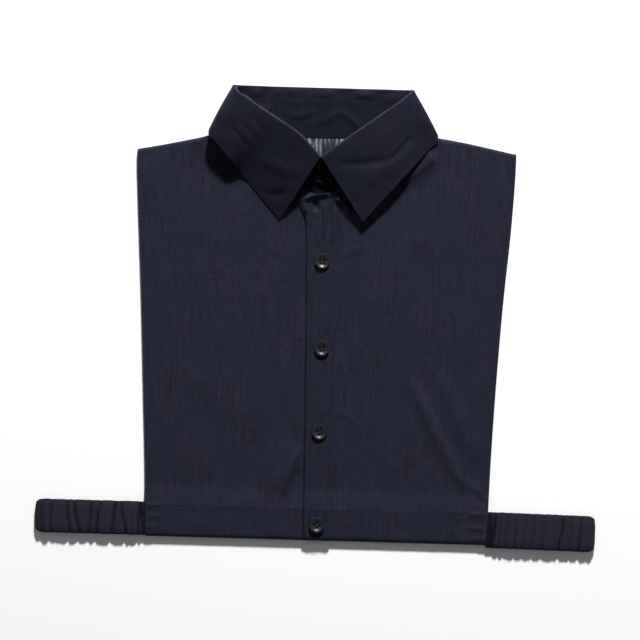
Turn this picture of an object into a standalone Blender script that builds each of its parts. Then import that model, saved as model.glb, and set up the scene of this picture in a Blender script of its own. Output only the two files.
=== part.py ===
"""Detachable shirt collar, laid flat with its front up.

A short cloth bib of one back and two front panels carries a stand, a folded collar leaf and a
buttoned placket. Two elastic straps, each a folded loop, join the front hem to the back hem.
Sizes are in millimetres. +X runs across the bib, +Y from the hem to the collar and +Z up from
the surface it lies on. The wearer's right front is on the -X side.
"""

import math
from collections import namedtuple

import bmesh
import bpy
import numpy as np
from mathutils import Euler, Matrix, Vector

MM = 0.001
COLLECTION_NAME = "detachable_shirt_collar"

# Cloth: wall thicknesses, and the space left between pieces that touch
CLOTH = 1.2
STAND_CLOTH = 1.6
LEAF_CLOTH = 1.4
PLACKET_CLOTH = 1.6
STRAP_CLOTH = 2.4
GAP = 0.3
SEAM_GAP = 0.4
NECK_SEAM_GAP = 0.7

# Bib outline: half widths at heights above the hem, from the hem to the shoulder corner
Side = namedtuple("Side", "height half_width")
SIDES = (
    Side(0.0, 143.2),
    Side(30.0, 144.5),
    Side(115.0, 147.3),
    Side(200.0, 151.5),
    Side(290.0, 158.0),
    Side(330.0, 159.0),
)
BIB_HALF_WIDTH = 150.0
HEM_CLOTH = 2.0 * CLOTH
HEM_DEPTH = 27.5
HEM_STEP = 2.0
HEM_FADE = 10.0
ARMHOLE_HEM = 6.0
ARMHOLE_HEM_STEP = 1.5
ARMHOLE_RAISE = 0.5

# Shoulder seam, from the collar's side out to the shoulder corner
Shoulder = namedtuple("Shoulder", "across height")
SHOULDER = (
    Shoulder(85.0, 341.2),
    Shoulder(98.0, 336.9),
    Shoulder(128.0, 331.4),
    Shoulder(160.0, 325.6),
)
SHOULDER_GUESS_Y = 330.0
SETTLE_ROUNDS = 6

# The front curls down over the back's shoulder edge, which lies inset inside the curl
SHOULDER_CURL = 2.7
CURL_FOOT = 0.8
CURL_START = 90.0
CURL_FULL = 108.0
CURL_LEAST = 0.9
CURL_FOOT_LIFT = 0.3
CURL_FOOT_LIFT_END = 124.0
CURL_STEPS = 3
BACK_INSET_START = 85.0
BACK_INSET_FULL = 93.0

# Front panels: rows up from the hem, shares of the way up above them, and columns across
HEM_ROWS = (0.0, 23.5, HEM_DEPTH, HEM_DEPTH + HEM_STEP, HEM_DEPTH + 3.0 * HEM_STEP)
BODY_ROWS = 17
BODY_TOP_SHARE = 0.86
NECK_ROW_SHARES = (0.90, 0.935, 0.965, 1.0)
FRONT_COLUMNS = 14

# Placket: its free edge laps over the wearer's right front
PLACKET_EDGE = (Side(0.0, 9.7), Side(160.0, 12.0), Side(285.0, 14.7))
PLACKET_SEAM_X = 13.0
FRONT_SPLIT_X = 6.0

# Collar, in plan, mirrored about its own centre: the seam to the panels, the stand's top edge,
# the fold of the leaf and the leaf's outer edge. faces is the way the leaf lies off the stand,
# in degrees: -90 down at the back, 0 sideways, 90 up at the front.
COLLAR_CENTRE_X = -3.5
LEAF_EDGE_SHIFT = 1.7
Plan = namedtuple(
    "Plan", "place girth neck_x neck_y stand_x stand_y fold_x fold_y edge_x edge_y faces"
)
COLLAR_PLAN = (
    Plan("centre_back", 0.0, 0.0, 337.5, 0.0, 367.5, 0.0, 379.6, 0.0, 336.0, -90.0),
    Plan("back_mid", 45.0, 45.0, 338.0, 43.0, 367.8, 43.0, 379.6, 47.0, 336.2, -90.0),
    Plan("back_side", 72.0, 72.0, 339.4, 67.0, 368.4, 67.0, 379.6, 75.0, 336.8, -90.0),
    Plan("back_corner", 83.0, 82.5, 341.2, 76.0, 369.0, 74.8, 379.6, 88.5, 343.0, -50.0),
    Plan("side", 89.0, 85.0, 341.7, 78.4, 369.2, 77.3, 379.3, 95.3, 342.8, 0.0),
    Plan("front_corner", 95.0, 83.0, 340.6, 76.5, 368.5, 75.6, 377.8, 96.0, 338.0, 50.0),
    Plan("front_side", 104.0, 77.0, 337.0, 68.6, 364.5, 68.4, 372.4, 90.5, 332.2, 90.0),
    Plan("front_mid", 145.0, 45.0, 314.0, 36.0, 342.5, 36.0, 348.6, 65.5, 303.4, 90.0),
    Plan("centre_front", 193.0, 0.0, 291.8, 0.0, 317.6, 0.7, 322.0, 34.9, 268.2, 90.0),
    Plan("lap_end", 205.0, -12.0, 295.2, -11.5, 312.0, 0.7, 322.0, 34.9, 268.2, 90.0),
)
SIDE_ROW = 4
CENTRE_FRONT_ROW = 8

# Collar, in height: the middle of the wall at the same places, the roll's radius at the fold
# and how far the leaf bellies out between fold and edge
Lift = namedtuple("Lift", "place neck stand fold edge roll belly")
LEFT_LIFT = (
    Lift("centre_back", 2.5, 2.5, 2.52, 0.72, 1.8, 0.0),
    Lift("back_mid", 2.5, 2.5, 2.52, 0.72, 1.8, 0.0),
    Lift("back_side", 2.5, 2.6, 2.62, 0.72, 1.9, 0.0),
    Lift("back_corner", 3.3, 4.4, 5.0, 1.3, 2.0, 0.6),
    Lift("side", 4.8, 7.2, 9.5, 9.0, 2.2, 0.6),
    Lift("front_corner", 6.2, 9.8, 13.6, 16.5, 2.4, 1.0),
    Lift("front_side", 7.0, 11.4, 16.0, 21.5, 2.4, 1.0),
    Lift("front_mid", 4.6, 9.4, 13.6, 12.0, 2.2, 1.2),
    Lift("centre_front", 4.0, 9.5, 13.5, 7.2, 1.8, 1.0),
    Lift("lap_end", 4.0, 6.4, 13.5, 7.2, 1.8, 1.0),
)
RIGHT_LIFT = (
    Lift("centre_back", 2.5, 2.5, 2.52, 0.72, 1.8, 0.0),
    Lift("back_mid", 2.5, 2.5, 2.52, 0.72, 1.8, 0.0),
    Lift("back_side", 2.5, 2.6, 2.62, 0.72, 1.9, 0.0),
    Lift("back_corner", 3.2, 3.9, 4.5, 1.2, 2.0, 0.4),
    Lift("side", 4.7, 6.3, 7.7, 6.2, 2.0, 0.5),
    Lift("front_corner", 6.1, 8.6, 11.0, 10.6, 2.0, 0.8),
    Lift("front_side", 6.6, 9.6, 12.8, 13.6, 2.2, 1.2),
    Lift("front_mid", 5.9, 10.8, 15.0, 18.5, 2.2, 1.5),
    Lift("centre_front", 6.0, 11.6, 15.5, 16.6, 1.8, 1.0),
    Lift("lap_end", 6.1, 10.8, 15.5, 16.6, 1.8, 1.0),
)
GIRTH_STEPS = (
    0.0, 12.0, 24.0, 36.0, 48.0, 60.0, 67.0, 72.0, 76.0, 79.5, 83.0, 86.0, 89.0,
    92.0, 95.0, 99.0, 104.0, 112.0, 122.0, 134.0, 146.0, 158.0, 170.0, 182.0, 193.0,
)
LAP_STEPS = (199.0, 205.0)
STAND_ROWS = 4
ROLL_STEPS = 6
LEAF_START_SHARE = 0.4
LEAF_RUN_ROWS = 5

# Front panels where they rise to the neck seam: how far the rise reaches, and where across it
# changes from the height of the stand's lower end to the height of its upper end
NECK_RISE_REACH = 36.0
LOWER_END_EDGE = 8.0
UPPER_END_EDGE = 22.0

# Back panel: it rises over the leaf's lower edge, and small gathers run into the neck seam
BACK_RISE = 1.7
BACK_RISE_START = 318.0
BACK_RISE_END = 331.0
BACK_RISE_FADE_START = 89.0
BACK_RISE_FADE_END = 97.0
BACK_CORNER_RISE = 0.5
BACK_CORNER_START = 70.0
BACK_CORNER_END = 80.0
BACK_SIDE_INSET = 0.6
BACK_OUTER_SHARES = (1.0, 0.97, 0.84, 0.70, 0.55, 0.40, 0.20)
GATHER_COUNT = 36
GATHER_PITCH = 4.1
GATHERS_PER_CELL = 3
GATHER_STEPS = 3
GATHER_HEIGHT = 1.1
GATHER_UNEVEN_SHARE = 0.25
GATHER_UNEVEN_TURN = 0.41
GATHER_UNEVEN_PHASE = 0.6
GATHER_ROWS = (0.30, 0.62, 1.0)
GATHER_START = 312.0
GATHER_FULL_BELOW_SEAM = 4.0
BACK_ROWS = (0.0, 22.0, HEM_DEPTH, 29.0, 120.0, 215.0, 300.0, GATHER_START)

# Soft folds of the two front panels: a bent line, its half width and its height
Fold = namedtuple("Fold", "start_x start_y bend_x bend_y end_x end_y half_width height")
FRONT_FOLDS = (
    Fold(-12.0, 72.0, -27.0, 52.0, -30.0, 22.0, 7.0, 1.8),
    Fold(72.0, 148.0, 92.0, 92.0, 134.0, 30.0, 9.0, 2.4),
    Fold(96.0, 158.0, 118.0, 108.0, 141.0, 66.0, 8.0, 1.4),
    Fold(-156.0, 318.0, -140.0, 290.0, -146.0, 250.0, 9.0, 1.6),
    Fold(22.0, 282.0, 30.0, 262.0, 24.0, 236.0, 7.0, 1.0),
)
FOLD_END_SHARE = 0.25
FOLD_LINE_STEPS = 8
WAVE_HEIGHT = 0.5
WAVE_LENGTH_X = 150.0
WAVE_LENGTH_Y = 210.0
WAVE_PHASE = 0.7

# Side straps: folded loops of gathered casing. The gathers of the left one are few and deep,
# those of the right one fine and even
STRAP_END_X = 235.0
STRAP_HEIGHT = 28.0
STRAP_LAYER_SHIFT = 1.2
STRAP_CORNER = 4.0
STRAP_END_NARROWING = 0.10
STRAP_SCALLOP_SHARE = 0.35
STRAP_FOLD_RADIUS = 1.35
STRAP_FOLD_STEPS = 5
STRAP_ROWS = 4
STRAP_BACK_SHARES = (1.0, 0.75, 0.5, 0.25, 0.0)
STRAP_SEAM = 1.5
STRAP_SEAM_FADE = 4.5
STRAP_GATHER_SPREAD = 0.55
STRAP_GATHER_FOOT = 0.45
LEFT_STRAP_BASE = 0.2
RIGHT_STRAP_BASE = -1.6
Gather = namedtuple("Gather", "along lean half_width height")
LEFT_GATHERS = (
    Gather(5.0, 0.5, 3.0, 1.3),
    Gather(10.5, -1.5, 3.6, 0.9),
    Gather(20.0, 3.5, 4.2, 1.4),
    Gather(30.5, 2.5, 4.4, 1.1),
    Gather(41.0, 5.0, 4.6, 1.5),
    Gather(51.5, 3.0, 4.2, 1.0),
    Gather(61.5, 5.5, 4.6, 1.4),
    Gather(72.0, 3.0, 4.2, 0.9),
    Gather(81.5, 2.0, 3.8, 1.1),
)
RIGHT_GATHERS = (
    Gather(5.0, -0.5, 2.6, 1.4),
    Gather(10.0, 1.0, 2.8, 1.0),
    Gather(16.0, -1.5, 3.2, 0.6),
    Gather(23.5, 1.0, 3.2, 0.8),
    Gather(31.0, -1.0, 3.4, 0.6),
    Gather(38.5, 2.0, 3.2, 0.9),
    Gather(46.0, -1.5, 3.4, 0.6),
    Gather(53.5, 1.5, 3.2, 0.8),
    Gather(61.0, 4.0, 3.6, 1.1),
    Gather(69.0, -1.0, 3.2, 0.7),
    Gather(77.0, 2.5, 3.4, 0.9),
    Gather(84.0, 0.5, 3.0, 0.6),
)

# Buttons: turned discs with a dished face, a round rim and four thread holes
BUTTON_RADIUS = 6.25
BUTTON_FOOT_RADIUS = 4.6
BUTTON_HEIGHT = 2.6
Turned = namedtuple("Turned", "radius height")
BUTTON_PROFILE = (
    Turned(0.0, 1.35),
    Turned(3.9, 1.45),
    Turned(4.8, 2.25),
    Turned(5.5, BUTTON_HEIGHT),
    Turned(6.15, 2.1),
    Turned(BUTTON_RADIUS, 1.3),
    Turned(5.65, 0.4),
    Turned(BUTTON_FOOT_RADIUS, 0.0),
    Turned(0.0, 0.0),
)
BUTTON_STEPS = 18
BUTTON_MERGE = 0.01
BUTTON_HOLE_RADIUS = 0.8
BUTTON_HOLE_SIDES = 6
BUTTON_HOLE_SPACING = 2.7
ButtonPlace = namedtuple("ButtonPlace", "name x y tilt_x tilt_y turn lift_for_tilt")
NECK_BUTTON = ButtonPlace("button_neck", -3.0, 306.0, 12.2, 0.0, 20.0, 0.0)
PLACKET_BUTTONS = (
    ButtonPlace("button_1", 0.2, 234.3, 0.0, 0.0, 38.0, 0.0),
    ButtonPlace("button_2", 1.8, 161.2, 0.0, 0.0, 52.0, 0.0),
    ButtonPlace("button_3", 1.7, 91.1, 0.0, 0.0, 30.0, 0.0),
    ButtonPlace("button_4", 1.4, 13.3, 0.0, 3.0, 12.0, 1.0),
)

# Colours of the dyed cloth and the buttons, with their roughness
Finish = namedtuple("Finish", "red green blue roughness")
BIB_CLOTH = Finish(0.0210, 0.0212, 0.0356, 0.78)
COLLAR_CLOTH = Finish(0.0148, 0.0160, 0.0290, 0.75)
PLACKET_FINISH = Finish(0.0195, 0.0210, 0.0350, 0.76)
STRAP_FINISH = Finish(0.0190, 0.0192, 0.0290, 0.80)
BUTTON_FINISH = Finish(0.0060, 0.0062, 0.0080, 0.18)
CLOTH_SHARP_ANGLE = math.radians(50.0)
BUTTON_SHARP_ANGLE = math.radians(35.0)


def clear_scene():
    for item in list(bpy.data.objects):
        bpy.data.objects.remove(item, do_unlink=True)


def smooth_step(start, end, value):
    share = min(max((value - start) / (end - start), 0.0), 1.0)
    return share * share * (3.0 - 2.0 * share)


def easy_curve(stops, values, at):
    """Value at a place on a smooth curve through the stops, which never overshoots them."""
    if at <= stops[0]:
        return values[0]
    if at >= stops[-1]:
        return values[-1]
    widths = np.diff(stops)
    slopes = np.diff(values) / widths
    bends = [slopes[0]]
    for before, after in zip(slopes[:-1], slopes[1:]):
        if before * after <= 0.0:
            bends.append(0.0)
        else:
            bends.append(2.0 * before * after / (before + after))
    bends.append(slopes[-1])
    cell = int(np.searchsorted(stops, at, side="right")) - 1
    share = (at - stops[cell]) / widths[cell]
    first = 2.0 * share ** 3 - 3.0 * share ** 2 + 1.0
    second = share ** 3 - 2.0 * share ** 2 + share
    third = 3.0 * share ** 2 - 2.0 * share ** 3
    fourth = share ** 3 - share ** 2
    level = first * values[cell] + third * values[cell + 1]
    return level + widths[cell] * (second * bends[cell] + fourth * bends[cell + 1])


def table_value(table, key, column, at):
    stops = [getattr(row, key) for row in table]
    values = [getattr(row, column) for row in table]
    return easy_curve(stops, values, at)


def near_line(line, x, y):
    """Distance from a place to a bent line in plan, and the share of the line passed there."""
    best = (math.inf, 0.0)
    cells = len(line) - 1
    for cell in range(cells):
        start_x, start_y = line[cell][:2]
        run_x = line[cell + 1][0] - start_x
        run_y = line[cell + 1][1] - start_y
        share = ((x - start_x) * run_x + (y - start_y) * run_y) / (run_x ** 2 + run_y ** 2)
        share = min(max(share, 0.0), 1.0)
        distance = math.hypot(x - start_x - share * run_x, y - start_y - share * run_y)
        if distance < best[0]:
            best = (distance, (cell + share) / cells)
    return best


def bent_line(start, bend, end):
    """Points of a smooth arc from start to end, pulled towards the bend."""
    line = []
    for step in range(FOLD_LINE_STEPS + 1):
        share = step / FOLD_LINE_STEPS
        away = 1.0 - share
        x = away ** 2 * start[0] + 2.0 * away * share * bend[0] + share ** 2 * end[0]
        y = away ** 2 * start[1] + 2.0 * away * share * bend[1] + share ** 2 * end[1]
        line.append((x, y))
    return line


# Collar: every point of it comes from the plan table and the two height tables

def lift_value(side, column, girth):
    table = LEFT_LIFT if side < 0 else RIGHT_LIFT
    stops = [row.girth for row in COLLAR_PLAN]
    values = [getattr(row, column) for row in table]
    return easy_curve(stops, values, girth)


def plan_point(side, girth, part):
    x = table_value(COLLAR_PLAN, "girth", part + "_x", girth)
    y = table_value(COLLAR_PLAN, "girth", part + "_y", girth)
    shift = LEAF_EDGE_SHIFT if part == "edge" else 0.0
    return COLLAR_CENTRE_X + shift + side * x, y


def collar_point(side, girth, part):
    x, y = plan_point(side, girth, part)
    return Vector((x, y, lift_value(side, part, girth)))


def loop_places(steps):
    """Sides and girths from the left front end, round the back, to the right front end."""
    left = [(-1, girth) for girth in reversed(steps[1:])]
    return left + [(1, girth) for girth in steps]


def outward(side, girth):
    angle = math.radians(table_value(COLLAR_PLAN, "girth", "faces", girth))
    return Vector((side * math.cos(angle), 0.0, math.sin(angle)))


def leaf_section(side, girth):
    """Points across the leaf: up from the stand's seam, round the fold and out to the edge."""
    neck = collar_point(side, girth, "neck")
    top = collar_point(side, girth, "stand")
    fold = collar_point(side, girth, "fold")
    edge = collar_point(side, girth, "edge")
    away = outward(side, girth)
    rise = fold - neck
    rise = (rise - away * rise.dot(away)).normalized()
    roll = lift_value(side, "roll", girth)
    centre = fold - rise * roll
    along_stand = (top - neck).normalized()
    start = top + along_stand * SEAM_GAP
    inner = centre - away * roll
    points = [start, start + along_stand * ((inner - start).length * LEAF_START_SHARE)]
    for step in range(ROLL_STEPS + 1):
        turn = math.radians(-90.0 + 180.0 * step / ROLL_STEPS)
        points.append(centre + rise * (roll * math.cos(turn)) + away * (roll * math.sin(turn)))
    outer = centre + away * roll
    belly = lift_value(side, "belly", girth)
    for step in range(1, LEAF_RUN_ROWS + 1):
        share = step / LEAF_RUN_ROWS
        points.append(outer.lerp(edge, share) + away * (belly * math.sin(math.pi * share)))
    return points


# Panels: outlines and heights

def side_x(y):
    return table_value(SIDES, "height", "half_width", y)


def shoulder_y(across):
    return table_value(SHOULDER, "across", "height", across)


def neck_line():
    """The neck seam over the front, from the collar's left side to its right side."""
    places = [step for step in GIRTH_STEPS if step >= COLLAR_PLAN[SIDE_ROW].girth]
    left = [tuple(collar_point(-1, girth, "neck")) for girth in places]
    right = [tuple(collar_point(1, girth, "neck")) for girth in reversed(places[:-1])]
    return left + right


NECK_LINE = neck_line()
NECK_ACROSS = [point[0] for point in NECK_LINE]
NECK_Y = [point[1] for point in NECK_LINE]


def neck_outer_height(x):
    """Height of the front panels' outer face where they meet the stand."""
    across = x - COLLAR_CENTRE_X
    under = np.interp(min(x, COLLAR_CENTRE_X), NECK_ACROSS, [point[2] for point in NECK_LINE])
    if across <= LOWER_END_EDGE:
        return under + CLOTH / 2.0
    over_x = max(x, COLLAR_CENTRE_X + UPPER_END_EDGE)
    over = np.interp(over_x, NECK_ACROSS, [point[2] for point in NECK_LINE])
    share = smooth_step(LOWER_END_EDGE, UPPER_END_EDGE, across)
    return under + (over - under) * share + CLOTH / 2.0


def curl_share(x):
    return smooth_step(CURL_START, CURL_FULL, abs(x - COLLAR_CENTRE_X))


def front_top_y(x):
    """The front panels' upper edge: the neck seam under the collar, the shoulder beyond it."""
    across = abs(x - COLLAR_CENTRE_X)
    if across >= SHOULDER[0].across:
        return shoulder_y(across)
    return float(np.interp(x, NECK_ACROSS, NECK_Y)) - NECK_SEAM_GAP


def back_top_y(x):
    """The back panel's upper edge, kept inside the curled shoulder of the front."""
    across = abs(x - COLLAR_CENTRE_X)
    if across >= SHOULDER[0].across:
        inset = smooth_step(BACK_INSET_START, BACK_INSET_FULL, across)
        return shoulder_y(across) - SEAM_GAP - SHOULDER_CURL * inset
    back_half = COLLAR_PLAN[:SIDE_ROW + 1]
    return table_value(back_half, "neck_x", "neck_y", across) - SEAM_GAP


def back_rise(x, y):
    """How far the back panel is lifted off the surface by the leaf's lower edge under it."""
    across = abs(x - COLLAR_CENTRE_X)
    fade = 1.0 - smooth_step(BACK_RISE_FADE_START, BACK_RISE_FADE_END, across)
    corner = BACK_CORNER_RISE * smooth_step(BACK_CORNER_START, BACK_CORNER_END, across)
    return (BACK_RISE + corner) * smooth_step(BACK_RISE_START, BACK_RISE_END, y) * fade


def gather_lift(x, y):
    """Small gathers of the back panel, rising towards the neck seam."""
    across = x - COLLAR_CENTRE_X
    reach = GATHER_COUNT * GATHER_PITCH / 2.0
    if abs(across) >= reach:
        return 0.0
    wave = 0.5 - 0.5 * math.cos(2.0 * math.pi * (across + reach) / GATHER_PITCH)
    drift = math.sin(across * GATHER_UNEVEN_TURN + GATHER_UNEVEN_PHASE)
    uneven = 1.0 - GATHER_UNEVEN_SHARE * (1.0 - drift)
    full_y = back_top_y(x) - GATHER_FULL_BELOW_SEAM
    return GATHER_HEIGHT * wave * uneven * smooth_step(GATHER_START, full_y, y)


def hem_share(y):
    return 1.0 - smooth_step(HEM_DEPTH, HEM_DEPTH + HEM_FADE, y)


def fold_lift(fold, x, y):
    line = bent_line((fold.start_x, fold.start_y), (fold.bend_x, fold.bend_y),
                     (fold.end_x, fold.end_y))
    distance, passed = near_line(line, x, y)
    ends = smooth_step(0.0, FOLD_END_SHARE, passed) * smooth_step(0.0, FOLD_END_SHARE, 1.0 - passed)
    return fold.height * math.exp(-(distance / fold.half_width) ** 2) * ends


def front_height(x, y):
    """Height of the front panels' outer face over the back panel, its hem and the neck."""
    level = CLOTH + GAP + CLOTH + back_rise(x, y)
    level += 2.0 * CLOTH * hem_share(y)
    wave_x = math.sin(math.pi * x / WAVE_LENGTH_X + WAVE_PHASE)
    wave_y = math.cos(math.pi * y / WAVE_LENGTH_Y)
    level += WAVE_HEIGHT * (wave_x * wave_y) ** 2 * (1.0 - hem_share(y))
    for fold in FRONT_FOLDS:
        level += fold_lift(fold, x, y) * (1.0 - hem_share(y))
    edge = side_x(y) - abs(x)
    hem_end = ARMHOLE_HEM + ARMHOLE_HEM_STEP
    level += ARMHOLE_RAISE * (1.0 - smooth_step(ARMHOLE_HEM - ARMHOLE_HEM_STEP, hem_end, edge))
    distance, passed = near_line(NECK_LINE, x, y)
    nearest_x = np.interp(passed, np.linspace(0.0, 1.0, len(NECK_ACROSS)), NECK_ACROSS)
    near_neck = 1.0 - smooth_step(0.0, NECK_RISE_REACH, distance)
    return level + max(neck_outer_height(nearest_x) - level, 0.0) * near_neck


# Building blocks

def make_material(name, finish):
    material = bpy.data.materials.new(name)
    material.use_nodes = True
    shader = material.node_tree.nodes["Principled BSDF"]
    shader.inputs["Base Color"].default_value = (finish.red, finish.green, finish.blue, 1.0)
    shader.inputs["Roughness"].default_value = finish.roughness
    shader.inputs["Metallic"].default_value = 0.0
    return material


def grid_faces(row_count, length):
    """Four-sided faces between rows of points that all have the same length."""
    faces = []
    for row in range(row_count - 1):
        for cell in range(length - 1):
            low = row * length + cell
            high = low + length
            faces.append((low, low + 1, high + 1, high))
    return faces


def link_mesh(name, mesh, material, collection):
    item = bpy.data.objects.new(name, mesh)
    mesh.materials.append(material)
    mesh.shade_smooth()
    mesh.set_sharp_from_angle(angle=CLOTH_SHARP_ANGLE)
    collection.objects.link(item)
    return item


def mesh_from_points(name, points, faces):
    mesh = bpy.data.meshes.new(name)
    mesh.from_pydata([Vector(point) * MM for point in points], [], faces)
    mesh.update()
    return mesh


def thicken(item, thickness, offset):
    """Give an open sheet its wall: inside its points, outside them or on both sides."""
    wall = item.modifiers.new("wall", "SOLIDIFY")
    wall.thickness = thickness * MM
    wall.offset = offset
    wall.use_rim = True
    wall.use_quality_normals = True
    return wall


def thicken_with_hem(item, points, offset):
    """Give a panel its wall, which is of doubled cloth along the hem."""
    wall = thicken(item, HEM_CLOTH, offset)
    group = item.vertex_groups.new(name="doubled_cloth")
    for index, point in enumerate(points):
        doubled = 1.0 - smooth_step(HEM_DEPTH, HEM_DEPTH + HEM_STEP, point[1])
        group.add([index], doubled, "REPLACE")
    wall.vertex_group = group.name
    wall.thickness_vertex_group = CLOTH / HEM_CLOTH


def open_sheet(name, rows, material, collection):
    """A cloth piece without its wall, from rows of points."""
    points = [point for row in rows for point in row]
    faces = grid_faces(len(rows), len(rows[0]))
    return link_mesh(name, mesh_from_points(name, points, faces), material, collection), points


# Bib panels

def panel_rows():
    """Shares of the way up a panel, above the fixed rows at the hem."""
    body = [BODY_TOP_SHARE * step / BODY_ROWS for step in range(1, BODY_ROWS + 1)]
    return body + list(NECK_ROW_SHARES)


def front_column(x_at, top_y):
    """One line of points up a front panel. x_at gives its place across at a height."""
    points = []
    heights = list(HEM_ROWS)
    curl = curl_share(x_at(top_y))
    near_top = top_y - SHOULDER_CURL
    reach = CURL_LEAST + (front_height(x_at(near_top), near_top) - CURL_LEAST) * curl
    flat_top = top_y - reach
    base = HEM_ROWS[-1]
    heights += [base + share * (flat_top - base) for share in panel_rows()]
    for y in heights:
        x = x_at(y)
        points.append((x, y, front_height(x, y)))
    flat_x, flat_y, flat_z = points[-1]
    for step in range(1, CURL_STEPS + 1):
        turn = math.radians(90.0 * step / CURL_STEPS)
        out = curl * math.sin(turn) + (1.0 - curl) * step / (CURL_STEPS + 1)
        z = flat_z - curl * (flat_z - CURL_FOOT) * (1.0 - math.cos(turn))
        points.append((flat_x, flat_y + reach * out, z))
    foot_lift = 1.0 - smooth_step(CURL_FULL, CURL_FOOT_LIFT_END, abs(flat_x - COLLAR_CENTRE_X))
    foot = points[-1][2] - CURL_FOOT * curl + CURL_FOOT_LIFT * foot_lift * curl
    points.append((flat_x, top_y, foot))
    return points


def columns_to_rows(columns):
    return [list(row) for row in zip(*columns)]


def placket_edge_x(y):
    return -table_value(PLACKET_EDGE, "height", "half_width", y)


def shares_from_armhole():
    """Shares across a panel from its armhole, with a narrow column for the armhole's hem."""
    first = ARMHOLE_HEM / BIB_HALF_WIDTH
    rest = [first + (1.0 - first) * step / FRONT_COLUMNS for step in range(1, FRONT_COLUMNS + 1)]
    return [0.0, first] + rest


def settle_top(x_of_y):
    """The height at which a column meets the panel's upper edge."""
    y = SHOULDER_GUESS_Y
    for _ in range(SETTLE_ROUNDS):
        y = front_top_y(x_of_y(y))
    return y


def front_right_panel(material, collection):
    """Wearer's right front, with the button side that runs on under the placket."""
    columns = []
    for share in shares_from_armhole():
        def x_at(y, share=share):
            return -side_x(y) + share * (placket_edge_x(y) + side_x(y))
        columns.append(front_column(x_at, settle_top(x_at)))
    for share in (0.5, 1.0):
        def x_at(y, share=share):
            return placket_edge_x(y) + share * (FRONT_SPLIT_X - GAP / 2.0 - placket_edge_x(y))
        columns.append(front_column(x_at, settle_top(x_at)))
    rows = columns_to_rows(columns)
    item, points = open_sheet("front_right_panel", rows, material, collection)
    thicken_with_hem(item, points, -1.0)
    return item


def front_left_panel(material, collection):
    """Wearer's left front, which the placket is sewn to."""
    columns = []
    for x_fixed in (FRONT_SPLIT_X + GAP / 2.0, PLACKET_SEAM_X):
        columns.append(front_column(lambda y, x=x_fixed: x, front_top_y(x_fixed)))
    for share in list(reversed(shares_from_armhole()))[1:]:
        def x_at(y, share=share):
            return side_x(y) + share * (PLACKET_SEAM_X - side_x(y))
        columns.append(front_column(x_at, settle_top(x_at)))
    rows = columns_to_rows(columns)
    item, points = open_sheet("front_left_panel", rows, material, collection)
    thicken_with_hem(item, points, -1.0)
    return item


def placket(material, collection):
    """Doubled strip on the fronts, made from their own points moved out."""
    columns = []
    places = (
        lambda y: placket_edge_x(y),
        lambda y: (placket_edge_x(y) + FRONT_SPLIT_X) / 2.0,
        lambda y: FRONT_SPLIT_X,
        lambda y: PLACKET_SEAM_X,
    )
    out = GAP + PLACKET_CLOTH
    for x_at in places:
        column = front_column(x_at, settle_top(x_at))
        columns.append([(x, y, z + out) for x, y, z in column])
    item, _ = open_sheet("placket", columns_to_rows(columns), material, collection)
    thicken(item, PLACKET_CLOTH, -1.0)
    return item


def back_panel(material, collection):
    """Back of the bib: flat on the surface, hem turned up on its inside, neck edge gathered."""
    reach = GATHER_COUNT * GATHER_PITCH / 2.0
    inner = [COLLAR_CENTRE_X - reach + GATHERS_PER_CELL * GATHER_PITCH * cell
             for cell in range(GATHER_COUNT // GATHERS_PER_CELL + 1)]
    left_columns = [(-share, None) for share in BACK_OUTER_SHARES]
    right_columns = [(share, None) for share in reversed(BACK_OUTER_SHARES)]
    coarse = left_columns + [(None, x) for x in inner] + right_columns

    def column_x(column, y):
        share, fixed = column
        if fixed is not None:
            return fixed
        side = math.copysign(1.0, share)
        start = inner[-1] if side > 0 else inner[0]
        end = side * (side_x(y) - BACK_SIDE_INSET)
        return start + (end - start) * abs(share)

    points = []
    rows = []

    def add_row(places):
        rows.append(list(range(len(points), len(points) + len(places))))
        points.extend(places)

    for y in BACK_ROWS:
        add_row([(column_x(column, y), y, back_rise(column_x(column, y), y))
                 for column in coarse])

    split = GATHERS_PER_CELL * GATHER_STEPS
    first_inner = len(left_columns)
    fine = []
    splits = []
    for cell in range(len(coarse) - 1):
        inside = first_inner <= cell < first_inner + len(inner) - 1
        parts = split if inside else 1
        splits.append(parts)
        for part in range(parts):
            fine.append((coarse[cell], coarse[cell + 1], part / parts))
    fine.append((coarse[-1], coarse[-1], 0.0))

    for share_up in GATHER_ROWS:
        places = []
        for left, right, share in fine:
            guess_left = column_x(left, SHOULDER_GUESS_Y)
            guess_right = column_x(right, SHOULDER_GUESS_Y)
            guess_x = guess_left * (1.0 - share) + guess_right * share
            y = GATHER_START + share_up * (back_top_y(guess_x) - GATHER_START)
            x = column_x(left, y) * (1.0 - share) + column_x(right, y) * share
            places.append((x, y, back_rise(x, y) + gather_lift(x, y)))
        add_row(places)

    faces = []
    for lower, upper in zip(rows[:-1], rows[1:]):
        if len(lower) == len(upper):
            for cell in range(len(lower) - 1):
                faces.append((lower[cell], lower[cell + 1], upper[cell + 1], upper[cell]))
            continue
        place = 0
        for cell, parts in enumerate(splits):
            top = [upper[place + part] for part in range(parts + 1)]
            faces.append((lower[cell], lower[cell + 1], *reversed(top)))
            place += parts

    mesh = mesh_from_points("back_panel", points, faces)
    item = link_mesh("back_panel", mesh, material, collection)
    thicken_with_hem(item, points, 1.0)
    return item


# Collar pieces

def collar_stand(material, collection):
    """Stiffened band round the neck. Its right end laps over its left end at centre front."""
    columns = []
    for side, girth in loop_places(GIRTH_STEPS + LAP_STEPS):
        neck = collar_point(side, girth, "neck")
        top = collar_point(side, girth, "stand")
        columns.append([tuple(neck.lerp(top, row / STAND_ROWS)) for row in range(STAND_ROWS + 1)])
    item, _ = open_sheet("collar_stand", columns_to_rows(columns), material, collection)
    thicken(item, STAND_CLOTH, 0.0)
    return item


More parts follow.
